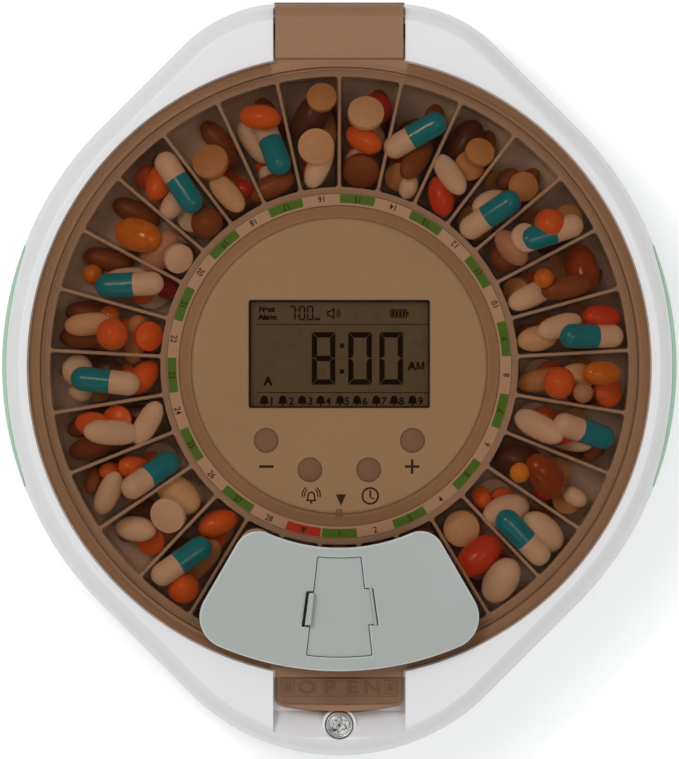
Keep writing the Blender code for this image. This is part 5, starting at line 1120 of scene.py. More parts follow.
@dataclass
class PillTray:
    """The turning tray: one compartment is drawn, and the tree repeats it round the axis."""

    repeat: Repeat
    outer: float = 92.75
    inner: float = 49.8
    seat: float = 53.44
    low: float = 30.1
    top: float = 52.0
    floor: float = 31.7
    pocket_inner: float = 55.5
    pocket_outer: float = 89.8
    half_divider: float = 0.48

    def sector(self) -> bmesh.types.BMesh:
        """Draw one compartment with its share of the rim, the inner wall and the ring gear's seat."""
        body = bmesh.new()
        half = CELL_TURN / 2
        pocket = wedge(0.0, half, self.half_divider, self.pocket_inner, self.pocket_outer, 1.0, 1.0, 4, 4)
        levels = ((-0.14, self.top), (0.0, self.top - 0.16), (0.18, self.floor + 4.0), (0.4, self.floor + 1.0),
                  (0.85, self.floor + 0.25), (0.9, self.floor))
        loops = [[body.verts.new((x, y, height)) for x, y in inset(pocket, drawn)] for drawn, height in levels]
        for high, low in zip(loops, loops[1:]):
            for index in range(len(high)):
                following = (index + 1) % len(high)
                body.faces.new((high[index], high[following], low[following], low[index]))
        body.faces.new(loops[-1])
        profile = [(self.seat + 0.5, self.top), (self.seat + 0.1, self.top - 0.1), (self.seat, self.top - 0.4),
                   (self.seat, self.top - 0.8), (self.inner, self.top - 0.8), (self.inner, self.top - 2.0),
                   (53.4, self.top - 3.5), (53.4, self.low), (self.outer - 0.4, self.low), (self.outer, self.low + 0.4),
                   (self.outer, self.top + 0.9), (self.outer - 0.1, self.top + 1.05), (self.outer - 0.5, self.top + 1.05),
                   (self.outer - 0.65, self.top + 0.9), (self.outer - 0.8, self.top + 0.1), (self.outer - 1.0, self.top)]
        turns = [-half + CELL_TURN * step / 6 for step in range(7)]
        grid = [[body.verts.new((radius * math.cos(turn), radius * math.sin(turn), height)) for turn in turns]
                for radius, height in profile]
        for near, far in zip(grid, grid[1:]):
            for index in range(6):
                body.faces.new((near[index], near[index + 1], far[index + 1], far[index]))
        sides = []
        for column in (0, -1):
            sides.append([grid[0][column], grid[-1][column]])
        boundary = grid[0] + [grid[-1][-1 - index] for index in range(7)]
        edges = []
        for first, second in zip(boundary, boundary[1:] + boundary[:1]):
            edges.append(body.edges.get((first, second)) or body.edges.new((first, second)))
        edges += [body.edges.get((loops[0][index - 1], loops[0][index])) for index in range(len(loops[0]))]
        bmesh.ops.triangle_fill(body, use_beauty=True, use_dissolve=False, edges=edges)
        return body

    def gear(self) -> bmesh.types.BMesh:
        """Draw the ring gear's three teeth that belong to one compartment."""
        bodies = []
        for number in range(3):
            middle = (number - 1) * CELL_TURN / 3
            outline = []
            for radius, half in ((54.0, 0.0110), (52.9, 0.0104), (52.2, 0.0082), (51.35, 0.0050)):
                outline.append((radius, half))
            right = [(r * math.cos(middle - h), r * math.sin(middle - h)) for r, h in outline]
            left = [(r * math.cos(middle + h), r * math.sin(middle + h)) for r, h in reversed(outline)]
            bodies.append(slab((right + left)[::-1], self.low, 36.1))
        return join(bodies)

    def build(self) -> None:
        """Build and dress the tray and its number ring."""
        bowl = self.repeat_raw(self.sector(), 0.003)
        teeth = self.repeat_raw(self.gear(), 0.0)
        tray = piece("compartment_tray", [(bowl, TRAY_ABS), (teeth, TRAY_ABS)], "tray", ["pill_tray"], 36)
        # Painted light: the compartments' faces get the lighter resin so that they look lit
        recoat(tray, POCKET_PAINTED_LIGHT, lambda x, y, z, up: z < self.top - 0.25 and self.pocket_inner < math.hypot(x, y) < self.pocket_outer)
        self.ring()

    def repeat_raw(self, part: bmesh.types.BMesh, weld: float) -> bmesh.types.BMesh:
        """Repeat a body once for each compartment."""
        return self.repeat(part, TRAY_ABS, CELLS, -math.pi / 2, CELL_TURN, weld=weld)

    def ring(self) -> None:
        """Build the ring of coloured, numbered cells with a light line between them."""
        low, high = 51.5, 52.1
        base = lathe([(49.82, low), (53.4, low), (53.4, high - 0.06), (50.1, high - 0.06), (49.82, high - 0.3)], 232)
        parts: list[tuple[bmesh.types.BMesh, Finish]] = [(base, RING_CREAM)]
        cells: dict[Finish, list[bmesh.types.BMesh]] = {RING_GREEN: [], RING_CREAM: [], RING_RED: []}
        digits = []
        for number in range(CELLS):
            angle = -math.pi / 2 + number * CELL_TURN
            finish = RING_RED if number == CELLS - 1 else (RING_GREEN if number % 2 == 0 else RING_CREAM)
            outline = wedge(angle, CELL_TURN / 2, 0.22, 50.55, 53.3, 0.25, 0.25, 2, 4)
            cells[finish].append(slab(outline, high - 0.1, high - 0.02))
            if number < CELLS - 1:
                place = (51.95 * math.cos(angle), 51.95 * math.sin(angle), high - 0.03)
                digits.append(text_body(str(number + 1), 1.95, place, angle + math.pi / 2, 0.05, 0.9, 0.0, 0.05))
            else:
                corners = [(52.95, 0), (51.2, 1.05), (51.2, -1.05)]
                digits.append(slab([(x * math.cos(angle) - y * math.sin(angle), x * math.sin(angle) + y * math.cos(angle))
                                    for x, y in corners], high - 0.03, high + 0.02))
        parts += [(join(bodies), finish) for finish, bodies in cells.items()]
        parts.append((join(digits), RING_INK))
        piece("number_ring", parts, "tray", ["day_ring"], 30)


# Hub

@dataclass
class Hub:
    """The centre case, its face, the window, the keys and the printed marks."""

    radius: float = 49.6
    face_radius: float = 46.0
    face_top: float = 53.2
    face_low: float = 51.0
    screen: tuple[float, float, float] = (3.7, 56.2, 33.5)
    keys: tuple[tuple[str, str, float, float], ...] = (
        ("minus", "minus_key", -22.7, -23.1), ("alarm", "alarm_key", -9.1, -32.2),
        ("clock", "clock_key", 9.1, -32.2), ("plus", "plus_key", 22.7, -23.1))

    def build(self) -> None:
        """Build and dress the hub."""
        lip = self.face_radius + 0.05
        profile = [(self.radius, 29.3), (self.radius, 50.7), (self.radius + 0.14, 50.85), (self.radius + 0.14, 51.15), (self.radius, 51.3), (self.radius - 1.2, 51.6),
                   (lip + 1.2, 52.2), (lip + 0.5, 52.35), (lip, 52.4), (lip, 50.7), (44.3, 50.7), (44.3, 49.0),
                   (48.0, 47.3), (48.0, 29.3)]
        window = slab(rectangle(0, 49.6, 18, 15.2), 27.0, 36.1)
        piece("hub_ring", [(carve(lathe(profile, 192), [(Carve.CUT, [window])]), HUB_ABS)], "case", ["hub_case"], 35)
        soft = arc((self.face_radius - 1.3, self.face_top - 1.3), 1.3, 0.0, math.pi / 2, 6)
        face = lathe([(0, self.face_low), (self.face_radius, self.face_low), *soft, (0, self.face_top)], 192)
        cuts = [slab(rectangle(0, self.screen[0], self.screen[1], self.screen[2], 0.7), 49.0, self.face_top + 0.3, flare=0.3)]
        cuts += [lathe([(0, 49), (3.8, 49), (3.8, self.face_top - 0.12), (3.93, self.face_top + 0.02), (3.93, 56), (0, 56)], 48, x, y)
                 for _, _, x, y in self.keys]
        notch = slab(rectangle(0, -46.2, 2.1, 3.4, 0.5), 52.7, 54.0)
        piece("hub_plate", [(carve(face, [(Carve.CUT, cuts), (Carve.CUT, [notch])]), FACE_ABS)], "case", ["hub_face"],
              35)
        pane = slab(rectangle(0, self.screen[0], 55.6, 32.9, 0.6), 50.0, 52.6, 0.15)
        flange = slab(rectangle(0, self.screen[0], 59.8, 37.1, 1.0), 49.7, 50.7)
        piece("display_pane", [(carve(flange, [(Carve.ADD, [pane])]), CLEAR_PANE)], "case", ["lcd_window"])
        for name, body, x, y in self.keys:
            dome = [(3.7 - 3.7 * k / 9, 46.65 + math.sqrt(7.35 ** 2 - (3.7 - 3.7 * k / 9) ** 2)) for k in range(1, 10)]
            key = [(0, 49.7), (4.9, 49.7), (4.9, 50.7), (3.7, 50.7), (3.7, 52.8), *dome]
            piece(f"key_{name}", [(lathe(key, 48, x, y), KEY_SILICONE)], body, [f"button_{name}"], 40)
        self.marks()

    def marks(self) -> None:
        """Build the printed marks beside the keys and the pointer."""
        low, high = self.face_top - 0.02, self.face_top + 0.03
        minus = [slab(rectangle(-22.6, -31.2, 4.5, 0.84, 0.2, 2), low, high)]
        cross = [(22.6 + x, -31.2 + y) for x, y in ((-2.25, -0.4), (-0.4, -0.4), (-0.4, -2.25), (0.4, -2.25), (0.4, -0.4),
                                                   (2.25, -0.4), (2.25, 0.4), (0.4, 0.4), (0.4, 2.25), (-0.4, 2.25),
                                                   (-0.4, 0.4), (-2.25, 0.4))]
        plus = [slab(cross, low, high)]
        clock = [bar(ring(2.75, 40, (9.6, -40.3)), 0.62, low, high), slab(rectangle(9.6, -39.5, 0.6, 2.0, 0.1, 2), low, high),
                 slab([(9.4, -40.45), (9.7, -40.62), (10.95, -41.1), (10.85, -41.45), (9.4, -40.9)][::-1], low, high)]
        bell = [bell_body(-8.7, -40.6, 4.0, low, high, 0.5)]
        for side in (-1, 1):
            for reach in (2.25, 3.0):
                middle = 0.35 if side > 0 else math.pi - 0.35
                outer = arc((-8.7, -40.0), reach, middle - 0.62, middle + 0.62, 8)
                inner = arc((-8.7, -40.0), reach - 0.42, middle + 0.62, middle - 0.62, 8)
                bell.append(slab(outer + inner, low, high))
        pointer = [slab([(-1.1, -39.8), (0.5, -43.4), (2.1, -39.8)], low, high)]
        piece("face_print", [(join(minus + plus + clock + bell + pointer), PRINT_DARK)], "case", ())
        rib = [(-44.3, 53.24), (-44.3, 52.6), (-46.0, 51.4), (-47.8, 51.3), (-47.8, 51.75), (-46.6, 52.5), (-46.0, 52.8),
               (-45.2, 53.22)]
        piece("index_tick", [(side_slab(rib, 1.05), KEY_SILICONE)], "case", ())


def bell_body(x: float, y: float, height: float, low: float, high: float, line: float = 0.0) -> bmesh.types.BMesh:
    """Make a small flat bell mark about a place, solid or drawn with a line of the given width."""
    half = height * (0.42 if line else 0.52)
    dome = arc((x, y + height * 0.12), half * 0.72, 0.0, math.pi, 10)
    outline = [(x + half, y - height * 0.34), (x + half * 0.78, y - height * 0.12)] + dome
    outline += [(x - half * 0.78, y - height * 0.12), (x - half, y - height * 0.34)]
    clapper = slab(ring(height * 0.11, 10, (x, y - height * 0.44)), low, high)
    return join([bar(outline, line, low, high) if line else slab(outline, low, high), clapper])


class Segment(Enum):
    """The seven bars of a digit, as (x, y, is_upright) in half widths and half heights."""

    TOP = (0, 1, False)
    UPPER_RIGHT = (1, 0.5, True)
    LOWER_RIGHT = (1, -0.5, True)
    BOTTOM = (0, -1, False)
    LOWER_LEFT = (-1, -0.5, True)
    UPPER_LEFT = (-1, 0.5, True)
    MIDDLE = (0, 0, False)


SHOWN = {"8": tuple(Segment), "0": tuple(s for s in Segment if s is not Segment.MIDDLE),
         "7": (Segment.TOP, Segment.UPPER_RIGHT, Segment.LOWER_RIGHT)}


@dataclass
class Display:
    """The liquid crystal panel with its time, alarm marks and rules."""

    y: float = 3.7
    low: float = 44.9
    top: float = 49.4

    def digit(self, value: str, x: float, y: float, width: float, height: float, thick: float) -> list[bmesh.types.BMesh]:
        """Make one seven-bar digit about a place."""
        made = []
        gap, half = 0.12, thick / 2
        across, rise = (width - thick) / 2, (height - thick) / 2
        for segment in SHOWN[value]:
            side, level, upright = segment.value
            up = 1 if level > 0 else -1
            if segment is Segment.MIDDLE:
                tip, flat = across - gap, across - half - gap
                shape = [(tip, 0), (flat, half), (-flat, half), (-tip, 0), (-flat, -half), (flat, -half)]
            elif upright:
                shape = [(side * (across + half), up * gap), (side * (across + half), up * (rise + half - 1.6 * gap)),
                         (side * (across - half), up * (rise - half - gap)), (side * (across - half), up * (half + gap)),
                         (side * across, up * gap)]
            else:
                shape = [(-across - half + gap, up * (rise + half)), (across + half - gap, up * (rise + half)),
                         (across - half - gap * 0.4, up * (rise - half)), (-across + half + gap * 0.4, up * (rise - half))]
            outline = [(x + a, y + b) for a, b in shape]
            area = sum(a[0] * b[1] - b[0] * a[1] for a, b in zip(outline, outline[1:] + outline[:1]))
            made.append(slab(outline if area > 0 else outline[::-1], self.top, self.top + 0.05))
        return made

    def build(self) -> None:
        """Build and dress the panel."""
        low, high = self.top, self.top + 0.05
        inks = self.digit("8", -4.88, 2.35, 7.35, 16.3, 1.67)
        inks += self.digit("0", 6.43, 2.35, 7.35, 16.3, 1.67) + self.digit("0", 16.1, 2.35, 7.35, 16.3, 1.67)
        inks += self.digit("7", -14.5, 16.4, 2.0, 4.5, 0.5) + self.digit("0", -11.55, 16.4, 2.0, 4.5, 0.5)
        inks += self.digit("0", -9.05, 16.4, 2.0, 4.5, 0.5)
        inks += [slab(rectangle(0.84, y, 1.36, 1.36, 0.1, 1), low, high) for y in (6.3, -1.7)]
        inks += [slab(rectangle(-13.05, y, 0.45, 0.45, 0.05, 1), low, high) for y in (17.4, 15.4)]
        inks += [slab(rectangle(0.95, y, 53.5, 0.22), low, high) for y in (12.9, -8.25)]
        half = [(0.0, -0.5), (0.66, 1.25), (1.22, 1.25), (1.22, -1.25), (0.74, -1.25), (0.74, 0.3), (0.24, -1.1)]
        letter_m = [(25.2 + x, 0.05 + y) for x, y in half + [(-x, y) for x, y in reversed(half[1:])]][::-1]
        inks += [text_body("Next", 1.7, (-22.4, 17.6, low), depth=0.05, weight=0.12),
                 text_body("Alarm", 1.7, (-22.35, 15.2, low), depth=0.05, weight=0.12),
                 text_body("AM", 0.95, (-7.0, 14.6, low), depth=0.05, weight=0.05),
                 text_body("A", 2.5, (22.5, 0.05, low), depth=0.05, weight=0.19), slab(letter_m, low, high),
                 text_body("A", 2.6, (-22.1, -4.65, low), depth=0.05, weight=0.19)]
        horn = [(-3.8, 15.5), (-3.0, 15.5), (-1.5, 14.4), (-1.5, 18.2), (-3.0, 17.1), (-3.8, 17.1)]
        speaker = [bar(horn, 0.42, low, high)]
        for reach in (1.0, 1.7):
            speaker.append(slab(arc((-1.4, 16.3), reach, -0.9, 0.9, 8) + arc((-1.4, 16.3), reach - 0.34, 0.9, -0.9, 8), low, high))
        cell = [bar(rectangle(18.4, 16.3, 5.2, 2.6, 0.2, 2), 0.34, low, high), slab(rectangle(21.3, 16.3, 0.5, 1.1), low, high)]
        cell += [slab(rectangle(16.75 + 1.1 * n, 16.3, 0.75, 1.6), low, high) for n in range(4)]
        bells = []
        for number, (bell_x, digit_x) in enumerate(((-23.3, -21.0), (-17.5, -14.9), (-11.5, -9.0), (-5.8, -3.4), (0.25, 2.36),
                                                    (5.5, 8.0), (11.5, 13.9), (17.0, 19.3), (22.7, 25.2)), start=1):
            bells.append(bell_body(bell_x, -10.7, 3.0, low, high))
            bells.append(text_body(str(number), 2.4, (digit_x, -10.9, low), depth=0.05, weight=0.08))
        panel = slab(rectangle(0, self.y, 60.6, 37.9, 0.5), self.low, self.top)
        border = bar(rectangle(0, self.y, 56.6, 33.9, 0.6), 0.85, self.top, self.top + 0.04)
        parts = [(panel, LCD_GLASS), (join(inks + speaker + cell + bells), LCD_INK), (border, PRINT_DARK)]
        piece("display_panel", parts, "case", ["lcd_module"])


@dataclass
class Lock:
    """The nickel lock in the nose: barrel ring, and a plug with a six-petal face and a small keyway."""

    y: float = -111.3
    top: float = 54.1

    def height(self, radius: float, angle: float) -> float:
        """Give the plug face's relief at a place."""
        edge = 1.95 + 0.42 * math.cos(6 * angle + math.pi)
        raised = 0.16 / (1 + math.exp((radius - edge) / 0.07))
        groove = 0.26 * math.exp(-((radius - edge - 0.12) / 0.14) ** 2) + 0.14 * math.exp(-((radius - 0.95) / 0.14) ** 2)
        return -0.2 + raised - groove - 0.22 * math.exp(-((radius - 3.1) / 0.12) ** 2)

    def build(self) -> None:
        """Build and dress the lock."""
        barrel = [(3.58, 45.3), (4.1, 45.3), (4.1, self.top - 0.2), (4.02, self.top - 0.05), (3.9, self.top),
                  (3.68, self.top - 0.05), (3.58, self.top - 0.2)]
        piece("lock_ring", [(lathe(barrel, 64, 0, self.y), LOCK_NICKEL)], "case", ["lock_barrel"], 45)
        body = bmesh.new()
        steps, rings_count = 96, 44
        loops = []
        for level in range(rings_count + 1):
            radius = 0.55 + (3.5 - 0.55) * level / rings_count
            loops.append([body.verts.new((radius * math.cos(t), self.y + radius * math.sin(t), 53.8 + self.height(radius, t)))
                          for t in [TAU * k / steps for k in range(steps)]])
        inner = [body.verts.new((0.5 * math.cos(TAU * k / steps), self.y + 0.5 * math.sin(TAU * k / steps), 52.3))
                 for k in range(steps)]
        outer = [body.verts.new((3.5 * math.cos(TAU * k / steps), self.y + 3.5 * math.sin(TAU * k / steps), 45.3))
                 for k in range(steps)]
        tang = [body.verts.new((1.5 * math.cos(TAU * k / steps), self.y + 1.5 * math.sin(TAU * k / steps), z))
                for z in (45.3, 43.2) for k in range(steps)]
        chain = [inner] + loops + [outer, tang[:steps], tang[steps:]]
        for low, high in zip(chain, chain[1:]):
            for index in range(steps):
                following = (index + 1) % steps
                body.faces.new((low[index], low[following], high[following], high[index]))
        body.faces.new(inner)
        body.faces.new(tang[steps:])
        pits = [slab(rectangle(x, self.y + y, 1.1, 0.6, 0.25, 4), 53.2, 53.66) for x, y in ((-1.5, -1.75), (1.75, -0.95))]
        key = slab([(-0.42, self.y - 0.3), (0.42, self.y - 0.3), (0.0, self.y + 0.42)], 52.2, 53.5)
        piece("lock_face", [(body, LOCK_NICKEL), (join([key, *pits]), BLACK_ABS)], "lock", ["lock_plug"], 50)


# Power pack and inner works

@dataclass
class PowerPack:
    """The four cells and the finishes of the works that the case hides."""

    bay_y: float = -30.0
    z: float = 11.0
    radius: float = 7.1
    length: float = 50.5

    def build(self) -> None:
        """Build the cells and repaint the hidden nodes."""
        for number in range(4):
            low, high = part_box(f"aa_cell_{number + 1}")
            middle_y, middle_z = (low.y + high.y) / 2 / MM - AXIS_Y_MM, (low.z + high.z) / 2 / MM
            direction = 1 if number % 2 else -1
            start = low.x / MM if direction > 0 else high.x / MM
            foot = self.length - 1.0
            r = self.radius
            parts = []
            for finish, profile in (
                    (SLEEVE, [(0, 0.35), (r - 0.9, 0.35), (r - 0.5, 0.0), (r - 0.1, 0.25), (r, 0.6), (r, foot - 11.0), (0, foot - 11.0)]),
                    (SLEEVE_BAND, [(0, foot - 11.05), (r, foot - 11.05), (r, foot - 0.6), (r - 0.25, foot - 0.15), (r - 0.8, foot),
                                   (0, foot)]),
                    (STEEL, [(0, foot - 0.5), (2.6, foot - 0.5), (2.6, foot + 0.7), (2.3, self.length), (0, self.length)])):
                body = lathe(profile, 40)
                for vert in body.verts:
                    across, depth, height = vert.co
                    vert.co = (start + direction * height, middle_y + across, middle_z + direction * depth)
                parts.append((body, finish))
            piece(f"battery_{number + 1}", parts, "case", [f"aa_cell_{number + 1}"], 40)
        repaint(SPRING_STEEL, "contact_link_1", "contact_link_2", "contact_link_3", "contact_negative", "contact_positive")
        repaint(ZINC, "gearbox", "drive_motor", "lock_cam", "lock_clip")
        repaint(STEEL, "hinge_pin", "motor_screw_1", "motor_screw_2")
        repaint(STEEL, *[f"{kind}_screw_{n}" for kind in ("hub", "board") for n in range(1, 5)])
        repaint(ACETAL, "drive_pinion")
        repaint(BOARD, "main_board")
        repaint(BLACK_ABS, "buzzer", "index_sensor", *[f"tact_switch_{n}" for n in ("minus", "alarm", "clock", "plus")])


# Pills

class Coat(Enum):
    """The colours of the tablets and capsules."""

    WHITE = TabletCoat("white_film_tablet", "F2EEE6", "E6E1D6", 0.5, 0.6)
    CREAM = TabletCoat("cream_tablet", "EAD9BC", "DDC9A8", 0.5, 0.6)
    TAN = TabletCoat("tan_tablet", "D2AE7E", "C09A6A", 0.5, 0.5)
    BROWN = TabletCoat("brown_film_tablet", "96603A", "82502F", 0.42, 0.7)
    DARKBROWN = TabletCoat("dark_brown_film_tablet", "5E3A28", "4C2E20", 0.38, 0.7)
    ORANGE = TabletCoat("orange_film_tablet", "F2813A", "E6702C", 0.35, 0.8, 0.0, 0.3)
    REDORANGE = TabletCoat("red_orange_film_tablet", "E2562E", "CF4724", 0.32, 0.8, 0.0, 0.35)
    RED = TabletCoat("red_coated_tablet", "B8342A", "A32B23", 0.28, 0.8, 0.0, 0.4)
    YELLOW = TabletCoat("yellow_coated_tablet", "F0B040", "E4A233", 0.35, 0.8, 0.0, 0.3)
    AMBER = TabletCoat("amber_softgel_gelatine", "E89A30", "D4801E", 0.12, 3.0, 0.5, 0.5)
    DARKAMBER = TabletCoat("dark_amber_softgel_gelatine", "A8541C", "8E4415", 0.12, 3.0, 0.4, 0.5)
    PINK = TabletCoat("pinkish_speckled_tablet", "D9B8A8", "B89484", 0.45, 0.4)
    TEAL = TabletCoat("teal_gelatine_shell", "06ACD6", "0A9CC6", 0.12, 4.0, 0.0, 0.35)


class Form(Enum):
    """The tablet shapes, with half length, half width and half height in millimetres."""

    CAPSULE = (10.85, 3.83, 3.83)
    OVAL = (6.6, 4.0, 3.8)
    SOFTGEL = (8.2, 5.2, 5.0)
    BEAD = (3.2, 3.2, 3.2)
    BALL = (5.0, 5.0, 4.6)
    OBLONG = (9.3, 4.0, 3.1)
    CAPLET = (8.0, 3.6, 2.9)
    ROUND = (5.6, 5.6, 2.1)
    DISC = (4.6, 4.6, 2.0)
    SMALL = (4.2, 2.9, 2.6)

    def body(self) -> list[bmesh.types.BMesh]:
        """Make the shape about the origin; a capsule has two halves."""
        length, width, height = self.value
        if self is Form.CAPSULE:
            halves = []
            for start, end, radius in ((-length, 1.5, width - 0.12), (-1.5, length, width)):
                grow = start > -5
                dome = [(radius * math.sin(math.pi / 2 * k / 6), length - radius + radius * math.cos(math.pi / 2 * k / 6)) for k in range(7)]
                profile = dome + [(radius, start if grow else -end), (0, start if grow else -end)]
                half = lathe(profile, 20)
                sign = 1 if grow else -1
                for vert in half.verts:
                    x, y, z = vert.co
                    vert.co = (z * sign, x, y * sign)
                halves.append(half)
            return halves
        if self in (Form.ROUND, Form.DISC):
            edge = height * 0.45
            profile = [(0, -height), (length * 0.55, -height * 0.93), (length - 0.35, -edge - 0.15), (length, -edge), (length, edge),
                       (length - 0.35, edge + 0.15), (length * 0.55, height * 0.93), (0, height)]
            return [lathe(profile, 28)]
        body = bmesh.new()
        bmesh.ops.create_uvsphere(body, u_segments=20, v_segments=12, radius=1.0)
        power = 0.72 if self in (Form.CAPLET, Form.OBLONG) else 0.9
        for vert in body.verts:
            x, y, z = vert.co
            stretch = (abs(x) ** power) * (1 if x > 0 else -1) if self in (Form.CAPLET, Form.OBLONG, Form.SOFTGEL) else x
            vert.co = (stretch * length, y * width, z * height)
        return [body]


@dataclass
class Pills:
    """The pills in the tray: a bed repeated in every compartment, and heaps on it.

    A heap's pills are placed from readings of the photograph and moved inside their compartment. Each end of a pill
    rests on the floor or on the pills below that end, so heights and slopes follow from the plan. A heap that would
    pass through the lid is held under it, so its pills run into each other there.
    """

    repeat: Repeat
    floor: float = 31.7
    ceiling: float = 56.8
    steepest: float = 0.5
    pocket_inner: float = 55.5
    pocket_outer: float = 89.6
    half_divider: float = 0.85
    pixel: float = 0.31
    axis_in_photo: tuple[float, float] = (339.3, 365.8)

    def fit(self, row: tuple, cell: int) -> tuple:
        """Bring a reading of the photograph inside its compartment.

        Args:
            row: the pill's form, coat, place in pixels and turn in degrees.
            cell: the compartment's number.

        Returns:
            Form, coat, reach, place across and turn in degrees, with the compartment on the +X line.
        """
        form, coat, column, line, turn_deg = row
        length, width, _ = form.value
        x = (column - self.axis_in_photo[0]) * self.pixel
        y = (self.axis_in_photo[1] - line) * self.pixel
        middle = (cell - 1) * CELL_TURN - math.pi / 2
        reach = x * math.cos(middle) + y * math.sin(middle)
        across = y * math.cos(middle) - x * math.sin(middle)
        turn = 0.0 if length == width else math.radians(turn_deg) - middle
        half = CELL_TURN / 2
        for _ in range(6):
            for arm in (width - length, length - width):
                end = reach + arm * math.cos(turn)
                reach += max(0.0, self.pocket_inner + width - end) - max(0.0, end + width - self.pocket_outer)
                end = reach + arm * math.cos(turn)
                room = max(0.0, (end * math.sin(half) - self.half_divider - width) / math.cos(half))
                side = across + arm * math.sin(turn)
                across += max(-room, min(room, side)) - side
        return form, coat, reach, across, math.degrees(turn)

    def lay(self, laid: list[tuple[float, ...]], row: tuple) -> tuple[Matrix, Form, Coat]:
        """Lay one pill on what lies there already.

        Args:
            laid: places, half widths and half heights of what lies there; the new pill is added.
            row: the pill's form, coat, reach, place across and turn.

        Returns:
            Where the pill lies in a compartment on the +X line, its form and its coat.
        """
        form, coat, reach, across, turn_deg = row
        length, width, height = form.value
        flat = height < 0.6 * width and length == width
        arm, reach_of_end = (0.5 * length, 0.6 * width) if flat else (length - width, width)
        turn = math.radians(turn_deg)
        supports = []
        for side in (-1, 0, 1):
            x, y = reach + side * arm * math.cos(turn), across + side * arm * math.sin(turn)
            levels = [self.floor + height]
            for other_x, other_y, other_z, other_width, other_height in laid:
                gap = math.hypot(x - other_x, y - other_y) / (reach_of_end + other_width)
                if gap < 1:
                    levels.append(other_z + (height + other_height) * math.sqrt(1 - gap * gap))
            supports.append(max(levels))
        slope = math.atan2(supports[2] - supports[0], 2 * arm) if arm else 0.0
        slope = max(-self.steepest, min(self.steepest, slope))
        middle = max((supports[0] + supports[2]) / 2, supports[1])
        middle = min(middle, self.ceiling - height - arm * abs(math.sin(slope)))
        for side in (-1, 0, 1):
            laid.append((reach + side * arm * math.cos(turn), across + side * arm * math.sin(turn),
                         middle + side * arm * math.sin(slope), reach_of_end, height))
        place = Matrix.Translation((reach, across, middle)) @ Matrix.Rotation(turn, 4, "Z") @ Matrix.Rotation(-slope, 4, "Y")
        return place, form, coat

    def build(self) -> None:
        """Build and dress all pills."""
        heaps: dict[Coat, list[bmesh.types.BMesh]] = {}
        bed: list[tuple[float, ...]] = []
        for row in BED:
            place, form, coat = self.lay(bed, row)
            for body in form.body():
                bmesh.ops.transform(body, matrix=place, verts=body.verts)
                heaps.setdefault(coat, []).append(self.repeat(body, coat.value, CELLS - 1, -math.pi / 2, CELL_TURN))
        for cell, rows in HEAPS.items():
            laid = list(bed)
            turned = Matrix.Rotation((cell - 1) * CELL_TURN - math.pi / 2, 4, "Z")
            for row in reversed(rows):
                place, form, coat = self.lay(laid, self.fit(row, cell))
                for index, body in enumerate(form.body()):
                    bmesh.ops.transform(body, matrix=turned @ place, verts=body.verts)
                    white_half = form is Form.CAPSULE and index == 0
                    heaps.setdefault(Coat.WHITE if white_half else coat, []).append(body)
        parts = [(join(bodies), coat.value) for coat, bodies in heaps.items()]
        piece("pill_heap", parts, "tray", (), 55)


# The bed can't be seen in the photograph and is made up. Each row is a form, a coat, the distance from the tray's
# axis, the place across the compartment and the turn in degrees
BED = ((Form.ROUND, Coat.WHITE, 63, 0, 75), (Form.DISC, Coat.TAN, 75, 2.5, 0),
       (Form.DISC, Coat.ORANGE, 66, 0.5, 0), (Form.CAPLET, Coat.BROWN, 79, -4, 10))
